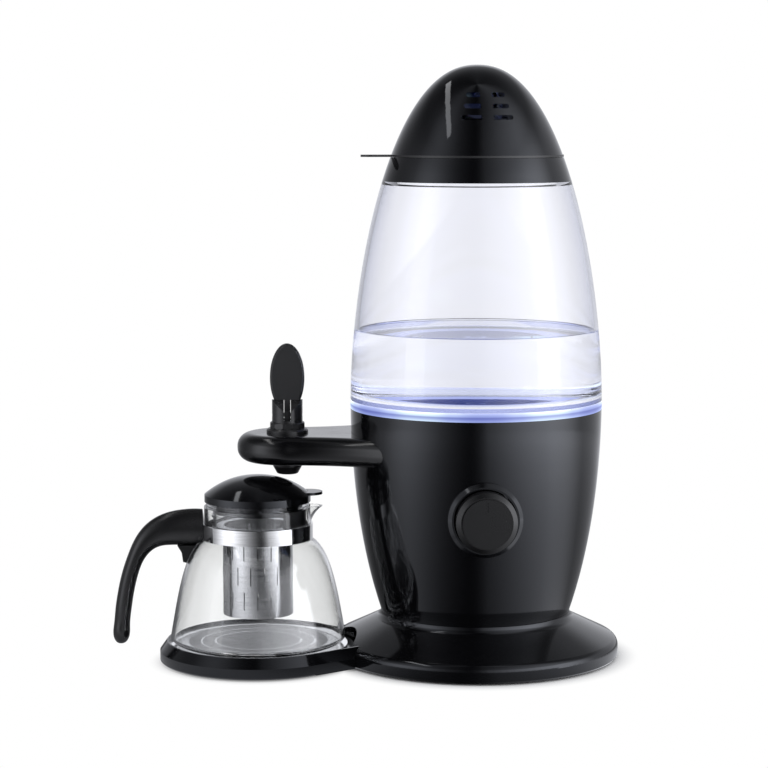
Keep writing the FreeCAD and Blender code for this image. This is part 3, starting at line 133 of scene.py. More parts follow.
def colour_ramp(nodes, links, value, stops, ease="EASE"):
    """Colour ramp through stops of position and colour; a plain number is a grey."""
    node = nodes.new("ShaderNodeValToRGB")
    node.color_ramp.interpolation = ease
    for position, _ in stops[1:-1]:
        node.color_ramp.elements.new(position)
    for element, (position, colour) in zip(node.color_ramp.elements, stops):
        element.position = position
        element.color = (colour, colour, colour, 1) if isinstance(colour, (int, float)) else (*colour, 1)
    links.new(value, node.inputs["Fac"])
    return node.outputs["Color"]


def mix_colour(nodes, links, factor, first, second, blend="MIX"):
    """Goes from the first colour to the second; each can be a colour or a socket."""
    node = nodes.new("ShaderNodeMix")
    node.data_type = "RGBA"
    node.blend_type = blend
    for label, value in (("Factor", factor), ("A", first), ("B", second)):
        feed(links, node.inputs[label], value)
    return node.outputs["Result"]


def object_place(nodes):
    """Where a point lies in the object, in metres."""
    return nodes.new("ShaderNodeTexCoord").outputs["Object"]


def by_ray(nodes, links, scattered, mirrored, seen, fade=None):
    """Shows one shader to scattered rays, one to gloss, and one to the eye, also straight through glass."""
    path = nodes.new("ShaderNodeLightPath")
    unturned = maths(nodes, links, "LESS_THAN", path.outputs["Glossy Depth"], 0.5)
    through = maths(nodes, links, "MULTIPLY", path.outputs["Is Transmission Ray"], unturned)
    clear = maths(nodes, links, "MAXIMUM", path.outputs["Is Camera Ray"], through)
    if fade is not None:
        clear = maths(nodes, links, "MULTIPLY", clear, fade)
    bent = maths(nodes, links, "MAXIMUM", path.outputs["Is Glossy Ray"], path.outputs["Is Transmission Ray"])
    first = nodes.new("ShaderNodeMixShader")
    links.new(bent, first.inputs["Fac"])
    links.new(scattered.outputs[0], first.inputs[1])
    links.new(mirrored.outputs[0], first.inputs[2])
    second = nodes.new("ShaderNodeMixShader")
    links.new(clear, second.inputs["Fac"])
    links.new(first.outputs[0], second.inputs[1])
    links.new(seen.outputs[0], second.inputs[2])
    return second.outputs[0]


# room_sides: how bright the room is in each direction round the tower
sides = bpy.data.node_groups.new("room_sides", "ShaderNodeTree")
sides.interface.new_socket(name="Vector", in_out="INPUT", socket_type="NodeSocketVector")
sides.interface.new_socket(name="Brightness", in_out="OUTPUT", socket_type="NodeSocketColor")
entry = sides.nodes.new("NodeGroupInput")
leave = sides.nodes.new("NodeGroupOutput")
nodes, links = sides.nodes, sides.links
east, north, _ = split_xyz(nodes, links, entry.outputs["Vector"])
bearing = maths(nodes, links, "ARCTAN2", east, maths(nodes, links, "MULTIPLY", north, -1.0))
turn = maths(nodes, links, "MULTIPLY_ADD", bearing, 0.5 / math.pi, 0.5 + camera_bearing * 0.5 / math.pi)
panels = colour_ramp(nodes, links, turn, room_panels, "B_SPLINE")
links.new(mix_colour(nodes, links, 1.0, panels, panel_tint, "MULTIPLY"), leave.inputs["Brightness"])


def room_brightness(nodes, links, direction, levels):
    """The room's brightness in a direction, times a level."""
    around = nodes.new("ShaderNodeGroup")
    around.node_tree = sides
    links.new(direction, around.inputs["Vector"])
    return mix_colour(nodes, links, 1.0, around.outputs["Brightness"], levels, "MULTIPLY")


world = bpy.data.worlds.new("surround")
bpy.context.scene.world = world
nodes, links = new_tree(world)
direction = nodes.new("ShaderNodeTexCoord").outputs["Generated"]
height = maths(nodes, links, "MULTIPLY_ADD", split_xyz(nodes, links, direction)[2], 0.5, 0.5)
levels = colour_ramp(nodes, links, height, room_levels)
ambient = nodes.new("ShaderNodeBackground")
ambient.inputs["Color"].default_value = ambient_light
mirrored = nodes.new("ShaderNodeBackground")
mirrored.inputs["Strength"].default_value = panel_strength
links.new(room_brightness(nodes, links, direction, levels), mirrored.inputs["Color"])
seen = nodes.new("ShaderNodeBackground")
seen.inputs["Color"].default_value = surround_white
out = nodes.new("ShaderNodeOutputWorld")
links.new(by_ray(nodes, links, ambient, mirrored, seen), out.inputs["Surface"])

table_mesh = bpy.data.meshes.new("table_top")
table_build = bmesh.new()
bmesh.ops.create_circle(table_build, cap_ends=True, radius=table_radius, segments=table_corners)
table_build.to_mesh(table_mesh)
table_build.free()
table = bpy.data.objects.new("table_top", table_mesh)
bpy.context.scene.collection.objects.link(table)
table_finish = bpy.data.materials.new("table_white")
nodes, links = new_tree(table_finish)
place = object_place(nodes)
edges = []
for name in ("base_plinth", "tray_plate"):
    low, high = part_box(name)
    centre = (0 if name == "base_plinth" else (low.x + high.x) / 2, (low.y + high.y) / 2, 0)
    reach = vector_maths(nodes, links, "DISTANCE", place, centre)
    edges.append(maths(nodes, links, "SUBTRACT", reach, (high.y - low.y) / 2))
fade = nodes.new("ShaderNodeMapRange")
fade.interpolation_type = "SMOOTHSTEP"
fade.inputs["From Min"].default_value = shadow_from
fade.inputs["From Max"].default_value = shadow_to
links.new(maths(nodes, links, "MINIMUM", *edges), fade.inputs["Value"])
levels = colour_ramp(nodes, links, vector_maths(nodes, links, "LENGTH", place), table_levels, "LINEAR")
paint = nodes.new("ShaderNodeBsdfDiffuse")
paint.inputs["Color"].default_value = table_paint
mirrored = nodes.new("ShaderNodeEmission")
mirrored.inputs["Strength"].default_value = panel_strength
links.new(room_brightness(nodes, links, place, levels), mirrored.inputs["Color"])
seen = nodes.new("ShaderNodeEmission")
seen.inputs["Color"].default_value = surround_white
out = nodes.new("ShaderNodeOutputMaterial")
links.new(by_ray(nodes, links, paint, mirrored, seen, fade.outputs["Result"]), out.inputs["Surface"])
table_mesh.materials.append(table_finish)


def soft_box(name, bearing, distance, height, width, tall, radiance, aim=(0.0, 0.0, 0.2), in_gloss=False):
    """Rectangular lamp at a bearing in degrees from the front; positive is to the right."""
    data = bpy.data.lights.new(name, "AREA")
    data.shape = "RECTANGLE"
    data.size = width
    data.size_y = tall
    data.energy = radiance * math.pi * width * tall
    lamp = bpy.data.objects.new(name, data)
    angle = math.radians(bearing)
    lamp.location = (distance * math.sin(angle), -distance * math.cos(angle), height)
    lamp.rotation_euler = (Vector(aim) - lamp.location).to_track_quat("-Z", "Y").to_euler()
    lamp.visible_glossy = in_gloss
    bpy.context.scene.collection.objects.link(lamp)


soft_box("soft_box_left", bearing=-62, distance=1.5, height=0.45, width=0.55, tall=1.3, radiance=1.1)
soft_box("soft_box_right", bearing=66, distance=1.5, height=0.45, width=0.7, tall=1.3, radiance=1.5)
soft_box("soft_box_top", bearing=-20, distance=1.2, height=1.5, width=0.9, tall=0.6, radiance=1.2)
soft_box("strip_above", bearing=-89.4, distance=0.72, height=1.389, width=1.32, tall=0.115, radiance=2.7,
         aim=(-0.038, -0.166, 0.2), in_gloss=True)

# ---------------------------------------------------------------------------------------------
# Base plinth and bottom plate.
# The plinth is an injection-moulded skirt in glossy black ABS, polished in the tool, and the
# plate below it is the same plastic with a matt spark-eroded skin.
gloss_black = (0.0022, 0.0022, 0.0027, 1)
satin_black = (0.0130, 0.0130, 0.0140, 1)
gloss_tint = (0.91, 0.94, 1.0, 1)
dust_grey = (0.32, 0.31, 0.30, 1)
fine_smear_scale = 900
grain_patch_scale = 35
dust_speck_scale = 420
ripple_height = 0.0004
grain_height = 0.00006


def new_group(name, inputs, outputs):
    """Node group for an effect that several finishes share; inputs carry their default values."""
    group = bpy.data.node_groups.new(name, "ShaderNodeTree")
    for label, value in inputs:
        socket = group.interface.new_socket(name=label, in_out="INPUT", socket_type="NodeSocketFloat")
        socket.default_value = value
    for label in outputs:
        group.interface.new_socket(name=label, in_out="OUTPUT", socket_type="NodeSocketFloat")
    return group, group.nodes.new("NodeGroupInput"), group.nodes.new("NodeGroupOutput")


def noise(nodes, links, scale, detail, vector):
    """Noise texture on a given vector; its scale is a number or a socket."""
    texture = nodes.new("ShaderNodeTexNoise")
    texture.inputs["Detail"].default_value = detail
    links.new(vector, texture.inputs["Vector"])
    feed(links, texture.inputs["Scale"], scale)
    return texture.outputs["Fac"]


def ramp_value(nodes, links, value, low, high, to_low, to_high):
    """Maps a value from one range to another, clamped."""
    mapper = nodes.new("ShaderNodeMapRange")
    mapper.inputs["From Min"].default_value = low
    mapper.inputs["From Max"].default_value = high
    mapper.inputs["To Min"].default_value = to_low
    mapper.inputs["To Max"].default_value = to_high
    links.new(value, mapper.inputs["Value"])
    return mapper.outputs["Result"]


# handled_gloss: the haze of finger marks and wiping on a polished face, and its slight waviness
handled, entry, leave = new_group("handled_gloss", [("Smear Scale", 22.0), ("Ripple Scale", 60.0)],
                                  ["Haze", "Ripple"])
nodes, links = handled.nodes, handled.links
place = object_place(nodes)
broad = noise(nodes, links, entry.outputs["Smear Scale"], 3, place)
broad = ramp_value(nodes, links, broad, 0.45, 0.75, 0, 1)
fine = noise(nodes, links, fine_smear_scale, 2, place)
fine = ramp_value(nodes, links, fine, 0.3, 0.7, 0.4, 1)
links.new(maths(nodes, links, "MULTIPLY", broad, fine), leave.inputs["Haze"])
links.new(noise(nodes, links, entry.outputs["Ripple Scale"], 1, place), leave.inputs["Ripple"])

# eroded_skin: the fine even grain of a spark-eroded mould
eroded, entry, leave = new_group("eroded_skin", [("Grain Scale", 2600.0)], ["Grain", "Patch"])
nodes, links = eroded.nodes, eroded.links
place = object_place(nodes)
cells = nodes.new("ShaderNodeTexVoronoi")
links.new(place, cells.inputs["Vector"])
links.new(entry.outputs["Grain Scale"], cells.inputs["Scale"])
links.new(cells.outputs["Distance"], leave.inputs["Grain"])
links.new(noise(nodes, links, grain_patch_scale, 3, place), leave.inputs["Patch"])

# settled_dust: thin dust on what faces up
dusty, entry, leave = new_group("settled_dust", [("Amount", 0.5)], ["Dust"])
nodes, links = dusty.nodes, dusty.links
facing = split_xyz(nodes, links, nodes.new("ShaderNodeNewGeometry").outputs["Normal"])
upward = ramp_value(nodes, links, facing[2], 0.55, 1.0, 0, 1)
specks = noise(nodes, links, dust_speck_scale, 4, object_place(nodes))
specks = ramp_value(nodes, links, specks, 0.40, 0.80, 0.1, 1.0)
layer = maths(nodes, links, "MULTIPLY", upward, specks)
links.new(maths(nodes, links, "MULTIPLY", layer, entry.outputs["Amount"]), leave.inputs["Dust"])


def principled(name, **values):
    """New material with one Principled shader whose sockets are set by name."""
    material = bpy.data.materials.new(name)
    nodes, links = new_tree(material)
    shader = nodes.new("ShaderNodeBsdfPrincipled")
    out = nodes.new("ShaderNodeOutputMaterial")
    links.new(shader.outputs["BSDF"], out.inputs["Surface"])
    for label, value in values.items():
        shader.inputs[label.replace("_", " ")].default_value = value
    return material, nodes, links, shader


def use(nodes, group, **values):
    """Places a node group in a material with its own values."""
    node = nodes.new("ShaderNodeGroup")
    node.node_tree = group
    for label, value in values.items():
        node.inputs[label.replace("_", " ")].default_value = value
    return node


def dusted(nodes, links, shader, colour, amount):
    """Base colour with a little settled dust over it, or plain where no dust can settle."""
    if amount:
        dust = use(nodes, dusty, Amount=amount).outputs["Dust"]
        colour = mix_colour(nodes, links, dust, colour, dust_grey)
    feed(links, shader.inputs["Base Color"], colour)


def bump(nodes, links, shader, height, strength, distance):
    """Bump from a height that feeds the shader's normal."""
    node = nodes.new("ShaderNodeBump")
    node.inputs["Strength"].default_value = strength
    node.inputs["Distance"].default_value = distance
    links.new(height, node.inputs["Height"])
    links.new(node.outputs["Normal"], shader.inputs["Normal"])


def gloss_finish(name, colour, roughness, haze, ripple, dust):
    """Polished black moulding with slight ripple, finger haze and dust."""
    material, nodes, links, shader = principled(name, IOR=1.5, Specular_IOR_Level=0.5,
                                                Specular_Tint=gloss_tint)
    wear = use(nodes, handled)
    links.new(ramp_value(nodes, links, wear.outputs["Haze"], 0, 1, roughness, roughness + haze),
              shader.inputs["Roughness"])
    bump(nodes, links, shader, wear.outputs["Ripple"], ripple, ripple_height)
    dusted(nodes, links, shader, colour, dust)
    return material


def satin_finish(name, colour, roughness, grain_scale, grain, dust=0.0):
    """Black moulding with a fine eroded grain."""
    material, nodes, links, shader = principled(name, IOR=1.5, Specular_IOR_Level=0.5)
    skin = use(nodes, eroded, Grain_Scale=grain_scale)
    links.new(ramp_value(nodes, links, skin.outputs["Patch"], 0.3, 0.7, roughness - 0.05, roughness + 0.06),
              shader.inputs["Roughness"])
    bump(nodes, links, shader, skin.outputs["Grain"], grain, grain_height)
    dusted(nodes, links, shader, colour, dust)
    return material


def dress(node, material):
    """Gives a carried-over CAD node its finish."""
    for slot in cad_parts[node].material_slots:
        slot.material = material


base_gloss = gloss_finish("base_gloss", gloss_black, roughness=0.07, haze=0.08, ripple=0.04, dust=0.006)
dress("base_plinth", base_gloss)
underside_satin = satin_finish("underside_satin", satin_black, roughness=0.5, grain_scale=2200, grain=0.35)
dress("base_bottom_plate", underside_satin)

# ---------------------------------------------------------------------------------------------
# Foot ring, tray feet and cord gland.
# Black rubber, moulded matt, so that the machine doesn't slide and the cord's mouth doesn't chafe.
rubber_black = (0.021, 0.021, 0.022, 1)
rubber, nodes, links, shader = principled("foot_rubber", IOR=1.45, Specular_IOR_Level=0.3)
skin = use(nodes, eroded, Grain_Scale=1500.0)
links.new(ramp_value(nodes, links, skin.outputs["Patch"], 0.3, 0.7, 0.72, 0.85), shader.inputs["Roughness"])
bump(nodes, links, shader, skin.outputs["Grain"], 0.5, 0.0001)
dusted(nodes, links, shader, rubber_black, 0.5)
for node in ("base_foot_ring", "tray_feet", "cord_gland"):
    dress(node, rubber)

# ---------------------------------------------------------------------------------------------
# Screws.
# Zinc-plated steel with a turned head, bright but for a little staining.
zinc_grey = (0.52, 0.53, 0.55, 1)
screw_zinc, nodes, links, shader = principled("screw_zinc", Metallic=1.0)
skin = use(nodes, handled, Smear_Scale=260.0)
links.new(ramp_value(nodes, links, skin.outputs["Haze"], 0, 1, 0.28, 0.5), shader.inputs["Roughness"])
dusted(nodes, links, shader, zinc_grey, 0.2)
bump(nodes, links, shader, skin.outputs["Ripple"], 0.1, 0.0001)
for node in ("base_screws", "tray_screws", "housing_screws", "deck_screws", "arm_screws", "switch_nut"):
    dress(node, screw_zinc)

# ---------------------------------------------------------------------------------------------
# Teapot tray and its plate.
# The tray is a glossy black moulding with a raised rim, hooked under the base. The plate in its
# floor is thin steel, spun, with circular brushing.
plate_white = (0.98, 0.98, 0.98, 1)
radian_length = 0.03
line_height = 0.00002
holder_low, holder_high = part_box("infuser_holder")
pot_centre = ((holder_low.x + holder_high.x) / 2, (holder_low.y + holder_high.y) / 2)

# brushed_lines: lines drawn out along one direction, close across it and long along it
brushed, entry, leave = new_group("brushed_lines", [("Across Scale", 3000.0), ("Along Scale", 60.0)],
                                  ["Line", "Streak"])
brushed.interface.new_socket(name="Vector", in_out="INPUT", socket_type="NodeSocketVector")
nodes, links = brushed.nodes, brushed.links
squeeze = nodes.new("ShaderNodeCombineXYZ")
for axis, label in (("X", "Along Scale"), ("Y", "Across Scale"), ("Z", "Across Scale")):
    links.new(entry.outputs[label], squeeze.inputs[axis])
stretched = vector_maths(nodes, links, "MULTIPLY", entry.outputs["Vector"], squeeze.outputs[0])
links.new(noise(nodes, links, 1, 2, stretched), leave.inputs["Line"])
links.new(noise(nodes, links, 0.22, 3, stretched), leave.inputs["Streak"])


def around_axis(nodes, links, centre):
    """Vector for brushing in rings round an upright axis: turn, distance, height."""
    offset = vector_maths(nodes, links, "SUBTRACT", object_place(nodes), (*centre, 0))
    x, y, z = split_xyz(nodes, links, offset)
    turn = maths(nodes, links, "ARCTAN2", y, x)
    flat = vector_maths(nodes, links, "MULTIPLY", offset, (1, 1, 0))
    vector = nodes.new("ShaderNodeCombineXYZ")
    links.new(maths(nodes, links, "MULTIPLY", turn, radian_length), vector.inputs["X"])
    links.new(vector_maths(nodes, links, "LENGTH", flat), vector.inputs["Y"])
    links.new(z, vector.inputs["Z"])
    return vector.outputs[0]


def steel_finish(name, colour, roughness, spread, strength, centre=(0, 0), across=2600.0, along=60.0,
                 contrast=0.18):
    """Brushed metal; the brushing runs round the given upright axis."""
    material, nodes, links, shader = principled(name, Metallic=1.0)
    lines = use(nodes, brushed, Across_Scale=across, Along_Scale=along)
    links.new(around_axis(nodes, links, centre), lines.inputs["Vector"])
    links.new(ramp_value(nodes, links, lines.outputs["Streak"], 0.3, 0.7, roughness, roughness + spread),
              shader.inputs["Roughness"])
    bump(nodes, links, shader, lines.outputs["Line"], strength, line_height)
    scored = tuple((1 - contrast) * part for part in colour[:3]) + (1,)
    depth = ramp_value(nodes, links, lines.outputs["Line"], 0.45, 0.75, 0, 1)
    links.new(mix_colour(nodes, links, depth, colour, scored), shader.inputs["Base Color"])
    return material


dress("pot_tray", gloss_finish("tray_gloss", gloss_black, roughness=0.08, haze=0.10, ripple=0.04, dust=0.01))
plate_steel = steel_finish("plate_steel", plate_white, roughness=0.12, spread=0.06, strength=0.10,
                           centre=pot_centre, across=420.0, along=14.0, contrast=0.15)
dress("tray_plate", plate_steel)

# ---------------------------------------------------------------------------------------------
# Lower housing.
# The lower half of the egg, one polished black moulding that carries the arm and the knob. It is
# screwed to the plinth from below.
housing_gloss = gloss_finish("housing_gloss", gloss_black, roughness=0.06, haze=0.05, ripple=0.04, dust=0.005)
dress("lower_housing", housing_gloss)

# ---------------------------------------------------------------------------------------------
# Knob, its bezel and what turns it.
# The bezel is polished like the housing. The knob is a satin moulding, pressed on the steel shaft
# of the selector switch behind the wall.
knob_black = (0.0040, 0.0040, 0.0045, 1)
shaft_grey = (0.6, 0.6, 0.61, 1)
knob_satin = satin_finish("knob_satin", knob_black, roughness=0.30, grain_scale=2400, grain=0.25, dust=0.02)
dress("knob", knob_satin)
bezel_gloss = gloss_finish("bezel_gloss", gloss_black, roughness=0.14, haze=0.08, ripple=0.04, dust=0.01)
dress("knob_bezel", bezel_gloss)
shaft_steel = steel_finish("shaft_steel", shaft_grey, roughness=0.25, spread=0.1, strength=0.2)
dress("knob_shaft", shaft_steel)
switch_satin = satin_finish("switch_satin", satin_black, roughness=0.5, grain_scale=2000, grain=0.3)
dress("selector_switch", switch_satin)

# ---------------------------------------------------------------------------------------------
# Deck, heater and what is below the tank.
# A black deck holds the heater plate against the tank's seal. Under the plate are the cast
# aluminium heater, the thermostat and the board with the light's LEDs.
cast_grey = (0.6, 0.6, 0.6, 1)
board_green = (0.01, 0.09, 0.03, 1)
silicone_white = (0.62, 0.63, 0.65, 1)
dress("support_deck", satin_finish("deck_satin", satin_black, roughness=0.5, grain_scale=2000, grain=0.3))
cast_aluminium = steel_finish("cast_aluminium", cast_grey, roughness=0.45, spread=0.1, strength=0.2,
                              across=800, along=800)
dress("heater_casting", cast_aluminium)
dress("thermostat", shaft_steel)
board, nodes, links, shader = principled("board_lacquer", Roughness=0.3)
dusted(nodes, links, shader, board_green, 0.1)
for node in ("led_board", "control_board"):
    dress(node, board)

silicone, nodes, links, shader = principled("silicone", Roughness=0.45, IOR=1.41, Subsurface_Weight=0.2)
dusted(nodes, links, shader, silicone_white, 0.1)
for node in ("tank_seal", "water_pipe", "lid_seal", "valve_washer"):
    dress(node, silicone)

# ---------------------------------------------------------------------------------------------
# Heater plate.
# A pressed steel disc that closes the tank from below. The ring's light on it is painted as a glow:
# painted dark at the back, violet-blue in front, with a painted cyan glint, a painted bright edge round the
# middle boss and a painted bright rim.
painted_glow_navy = (0.03, 0.035, 0.10, 1)
painted_boss_highlight = (0.50, 0.58, 0.95, 1)
painted_rim_highlight = (0.42, 0.48, 0.84, 1)
painted_glint_cyan = (0.62, 0.88, 1.0, 1)
painted_glint_place = (0.044, -0.012, 0.184)
painted_glint_full = 0.006
painted_glint_end = 0.026
plate_reach = 0.068
boss_reach = 0.012
painted_rim_from = 0.0505
painted_rim_to = 0.0525
# painted glow colours from the front of the plate to its back
painted_plate_glow = ((0.0, (0.22, 0.27, 0.60)), (0.34, (0.14, 0.19, 0.55)), (0.54, (0.012, 0.025, 0.14)),
              (1.0, (0.05, 0.07, 0.26)))
# how bright the painted highlight on the boss's edge is, from its middle outward
painted_boss_edge = ((0.0, 0.0), (0.36, 0.05), (0.50, 0.8), (0.8, 0.0))

# painted glow: the plate's lit look is emission laid on by place, not light from the ring
heater, nodes, links, shader = principled("painted_glow_plate", Metallic=0.03, Roughness=0.6, Specular_IOR_Level=0.05,
                                          Emission_Strength=1.0, Base_Color=painted_glow_navy)
place = object_place(nodes)
depth = ramp_value(nodes, links, split_xyz(nodes, links, place)[1], -plate_reach, plate_reach, 0, 1)
colour = colour_ramp(nodes, links, depth, painted_plate_glow)
# painted cyan glint at a fixed spot
spot = vector_maths(nodes, links, "DISTANCE", place, painted_glint_place)
glint = ramp_value(nodes, links, spot, painted_glint_full, painted_glint_end, 1, 0)
colour = mix_colour(nodes, links, glint, colour, painted_glint_cyan)
ring_vector = around_axis(nodes, links, (0, 0))
reach = split_xyz(nodes, links, ring_vector)[1]
# painted bright edge round the boss
edge = colour_ramp(nodes, links, ramp_value(nodes, links, reach, 0, boss_reach, 0, 1), painted_boss_edge)
colour = mix_colour(nodes, links, edge, colour, painted_boss_highlight)
# painted bright rim round the plate's outer part
rim = ramp_value(nodes, links, reach, painted_rim_from, painted_rim_to, 0, 1)
links.new(mix_colour(nodes, links, rim, colour, painted_rim_highlight), shader.inputs["Emission Color"])
lines = use(nodes, brushed, Across_Scale=2200.0, Along_Scale=60.0)
links.new(ring_vector, lines.inputs["Vector"])
bump(nodes, links, shader, lines.outputs["Line"], 0.2, line_height)
dress("heater_plate", heater)

# ---------------------------------------------------------------------------------------------
# Light ring.
# A frosted diffuser moulded in polycarbonate. Its violet-blue light from the board below is painted
# as a glow: the inner face is painted paler, and the painted light swells softly six times on the way round.
ring_base = (0.05, 0.05, 0.1, 1)
painted_inner_pale = (0.80, 0.84, 0.97, 1)
painted_swell_count = 6
inner_from = 0.0025
inner_to = 0.001
# painted glow colours from the ring's lower edge to its upper edge
painted_ring_band = ((0.0, (0.42, 0.50, 0.78)), (0.48, (0.17, 0.21, 0.50)), (0.70, (0.46, 0.54, 0.79)),
             (1.0, (0.75, 0.80, 0.97)))
# painted swells: how much brighter or dimmer they are, from between two swells to the middle of one
painted_ring_swell = ((0.0, (0.62, 0.66, 0.92)), (0.5, (0.95, 1.0, 1.1)), (1.0, (1.5, 1.6, 1.25)))

# painted glow: the ring's light is emission laid on by height and turn
ring_painted_glow, nodes, links, shader = principled("ring_painted_glow", Roughness=0.35, IOR=1.58, Emission_Strength=0.95,
                                              Base_Color=ring_base)
ring_low, ring_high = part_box("light_ring")
x, y, z = split_xyz(nodes, links, object_place(nodes))
rise = ramp_value(nodes, links, z, ring_low.z, ring_high.z, 0, 1)
band = colour_ramp(nodes, links, rise, painted_ring_band)
# painted swells of light round the ring
turn = maths(nodes, links, "ARCTAN2", x, maths(nodes, links, "MULTIPLY", y, -1.0))
swell = maths(nodes, links, "COSINE", maths(nodes, links, "MULTIPLY", turn, float(painted_swell_count)))
painted_glare = colour_ramp(nodes, links, maths(nodes, links, "MULTIPLY_ADD", swell, -0.5, 0.5), painted_ring_swell)
outer = mix_colour(nodes, links, 1.0, band, painted_glare, "MULTIPLY")
reach = split_xyz(nodes, links, around_axis(nodes, links, (0, 0)))[1]
outward = ramp_value(nodes, links, reach, ring_high.x - inner_from, ring_high.x - inner_to, 0, 1)
links.new(mix_colour(nodes, links, outward, painted_inner_pale, outer), shader.inputs["Emission Color"])
dress("light_ring", ring_painted_glow)

# ---------------------------------------------------------------------------------------------
# Tank.
# Clear polycarbonate, blown to the shape of the egg, with a thick foot and an upright neck. Its
# index is kept near that of the water, so that the foot bends the view of the plate less.
tank_index = 1.345
tank_face = (0.945, 0.95, 0.985, 1)
tank_edge = (0.84, 0.86, 0.99, 1)
tank_clear, nodes, links, shader = principled("tank_clear", Transmission_Weight=1.0, IOR=tank_index)
wear = use(nodes, handled, Smear_Scale=16.0, Ripple_Scale=14.0)
links.new(ramp_value(nodes, links, wear.outputs["Haze"], 0, 1, 0.0, 0.03), shader.inputs["Roughness"])
slant = nodes.new("ShaderNodeLayerWeight")
slant.inputs["Blend"].default_value = 0.5
edge = ramp_value(nodes, links, slant.outputs["Facing"], 0.45, 0.95, 0, 1)
links.new(mix_colour(nodes, links, edge, tank_face, tank_edge), shader.inputs["Base Color"])
bump(nodes, links, shader, wear.outputs["Ripple"], 0.06, 0.001)
dress("tank", tank_clear)

# ---------------------------------------------------------------------------------------------
# Water.
# It fills a third of the tank and climbs a little at the wall. It reaches a hair into the
# plastic, so that no film of air shows between the two.
belly_radius = ring_high.x
belly_z = ring_high.z
apex_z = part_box("dome_lid")[1].z
dome_power = 1.75
dome_root = 2.226
tank_wall = 0.003
tank_floor = 0.003
water_top = 0.237
overlap = 0.0002
foot_inner = 0.0844
step_rise = 0.002
cone_rise = 0.004
side_steps = 12
meniscus = 0.0010
meniscus_width = 0.004
meniscus_curve = 2.2
meniscus_steps = 6
water_tint = (0.975, 0.98, 0.995, 1)


def tank_inside(z):
    """Radius of the tank's inner wall at a height, a hair into the wall."""
    rise = (z - belly_z) / (apex_z - tank_wall - belly_z)
    return (belly_radius - tank_wall + overlap) * (1 - rise ** dome_power) ** (1 / dome_root)


def spin_mesh(name, profile, steps=160):
    """Mesh turned from a profile of radius and height round the Z axis."""
    build = bmesh.new()
    rings = []
    for radius, z in profile:
        if radius == 0:
            rings.append([build.verts.new((0, 0, z))])
            continue
        turn = [2 * math.pi * step / steps for step in range(steps)]
        rings.append([build.verts.new((radius * math.cos(a), radius * math.sin(a), z)) for a in turn])
    for low, high in zip(rings, rings[1:]):
        for step in range(steps):
            after = (step + 1) % steps
            corners = [low[step % len(low)], low[after % len(low)],
                       high[after % len(high)], high[step % len(high)]]
            build.faces.new(list(dict.fromkeys(corners)))
    bmesh.ops.recalc_face_normals(build, faces=build.faces)
    mesh = bpy.data.meshes.new(name)
    build.to_mesh(mesh)
    build.free()
    mesh.shade_smooth()
    piece = bpy.data.objects.new(name, mesh)
    bpy.context.scene.collection.objects.link(piece)
    return piece


floor_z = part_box("tank")[0].z + tank_floor
wall_z = floor_z + step_rise + cone_rise
side_levels = [wall_z + (water_top - wall_z) * step / side_steps for step in range(side_steps + 1)]
profile = [(0, floor_z - overlap), (foot_inner + overlap, floor_z - overlap),
           (foot_inner + overlap, floor_z + step_rise)]
profile += [(tank_inside(z), z) for z in side_levels]
profile += [(tank_inside(water_top + meniscus), water_top + meniscus)]
for step in range(1, meniscus_steps + 1):
    share = step / meniscus_steps
    profile.append((tank_inside(water_top) - meniscus_width * share,
                    water_top + meniscus * (1 - share) ** meniscus_curve))
profile.append((0, water_top))
water = spin_mesh("water", profile)
water_clear, nodes, links, shader = principled("water_clear", Transmission_Weight=1.0, IOR=1.333,
                                               Roughness=0.0, Base_Color=water_tint)
wear = use(nodes, handled, Smear_Scale=10.0, Ripple_Scale=25.0)
bump(nodes, links, shader, wear.outputs["Ripple"], 0.03, 0.001)
water.data.materials.append(water_clear)
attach(water, "machine")

# ---------------------------------------------------------------------------------------------
# Collar and lid.
# The collar is pressed on the tank's neck. The lid is a polished dome over a thin plate, whose
# tab is there to lift it by, and has two columns of steam vents.
collar_gloss = gloss_finish("collar_gloss", gloss_black, roughness=0.07, haze=0.06, ripple=0.04, dust=0.005)
dress("collar", collar_gloss)
dome_gloss = gloss_finish("dome_gloss", gloss_black, roughness=0.05, haze=0.04, ripple=0.03, dust=0.005)
dress("dome_lid", dome_gloss)
lid_plate_satin = satin_finish("lid_plate_satin", satin_black, roughness=0.36, grain_scale=2400, grain=0.25,
                               dust=0.1)
dress("lid_plate", lid_plate_satin)

# ---------------------------------------------------------------------------------------------
# Arm.
# Two satin black shells, moulded in ABS and screwed together from below round the water pipe.
arm_satin = satin_finish("arm_satin", gloss_black, roughness=0.15, grain_scale=2600, grain=0.08, dust=0.004)
for node in ("arm_upper", "arm_lower"):
    dress(node, arm_satin)

# ---------------------------------------------------------------------------------------------
# Tap.
# A brass body inside the arm, with black plastic outside: flange, ring nut, slotted collar,
# nozzle and the lever's paddle on its steel pin.
brass = (0.72, 0.5, 0.22, 1)
tap_satin = satin_finish("tap_satin", satin_black, roughness=0.30, grain_scale=2600, grain=0.22, dust=0.05)
for node in ("tap_flange", "ring_nut", "tap_collar", "nozzle"):
    dress(node, tap_satin)
paddle_satin = satin_finish("paddle_satin", satin_black, roughness=0.42, grain_scale=2200, grain=0.4,
                            dust=0.03)
dress("lever_paddle", paddle_satin)
for node in ("lever_pin", "valve_stem", "valve_spring"):
    dress(node, shaft_steel)
dress("tap_body", steel_finish("tap_brass", brass, roughness=0.28, spread=0.1, strength=0.2))

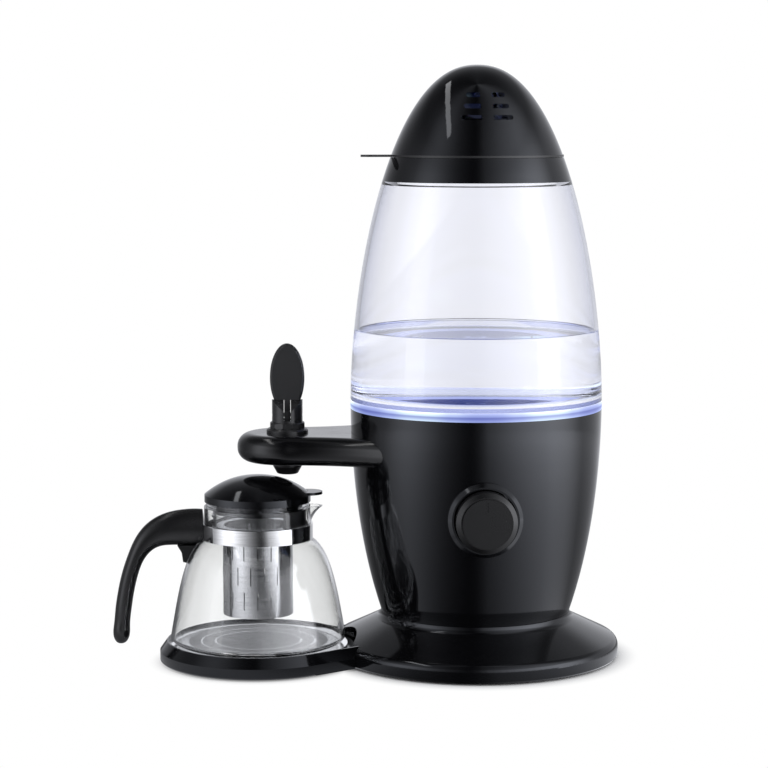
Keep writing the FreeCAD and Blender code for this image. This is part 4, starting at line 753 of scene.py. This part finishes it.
# ---------------------------------------------------------------------------------------------
# Teapot glass.
# Blown borosilicate glass with a pressed spout and a thicker foot, a little grey in the wall.
glass_tint = (0.94, 0.945, 0.945, 1)
pot_clear, nodes, links, shader = principled("pot_clear", Transmission_Weight=1.0, IOR=1.47,
                                             Base_Color=glass_tint)
wear = use(nodes, handled, Smear_Scale=30.0, Ripple_Scale=28.0)
links.new(ramp_value(nodes, links, wear.outputs["Haze"], 0, 1, 0.0, 0.02), shader.inputs["Roughness"])
bump(nodes, links, shader, wear.outputs["Ripple"], 0.05, 0.001)
dress("pot_glass", pot_clear)

# ---------------------------------------------------------------------------------------------
# Neck band, handle and its screw.
# The band is polished strip steel drawn tight round the neck. The handle hooks on it and is
# moulded in black nylon.
handle_black = (0.006, 0.006, 0.0065, 1)
band_grey = (0.86, 0.86, 0.86, 1)
band_steel = steel_finish("band_steel", band_grey, roughness=0.07, spread=0.05, strength=0.06,
                          centre=pot_centre, across=1800)
dress("neck_band", band_steel)
dress("handle_screw", screw_zinc)
handle_satin = satin_finish("handle_satin", handle_black, roughness=0.22, grain_scale=2400, grain=0.15,
                            dust=0.01)
dress("pot_handle", handle_satin)

# ---------------------------------------------------------------------------------------------
# Infuser, its holder and catch.
# The basket is drawn stainless steel with fine slits. It hangs in a smoke-grey clear ring that
# is held in the neck by a black catch.
basket_grey = (0.86, 0.86, 0.865, 1)
smoke_tint = (0.88, 0.885, 0.89, 1)
infuser_steel = steel_finish("infuser_steel", basket_grey, roughness=0.11, spread=0.08, strength=0.12,
                             centre=pot_centre)
dress("infuser", infuser_steel)
holder_clear, nodes, links, shader = principled("holder_clear", Transmission_Weight=1.0, IOR=1.35,
                                                Base_Color=smoke_tint)
wear = use(nodes, handled, Smear_Scale=60.0, Ripple_Scale=80.0)
links.new(ramp_value(nodes, links, wear.outputs["Haze"], 0, 1, 0.01, 0.06), shader.inputs["Roughness"])
bump(nodes, links, shader, wear.outputs["Ripple"], 0.05, 0.0005)
dress("infuser_holder", holder_clear)
dress("holder_clip", tap_satin)

# ---------------------------------------------------------------------------------------------
# Teapot lid.
# A polished black dome with a tongue that covers the spout. It turns on its spigot in the holder.
pot_lid_gloss = gloss_finish("pot_lid_gloss", gloss_black, roughness=0.08, haze=0.08, ripple=0.04, dust=0.006)
dress("pot_lid", pot_lid_gloss)
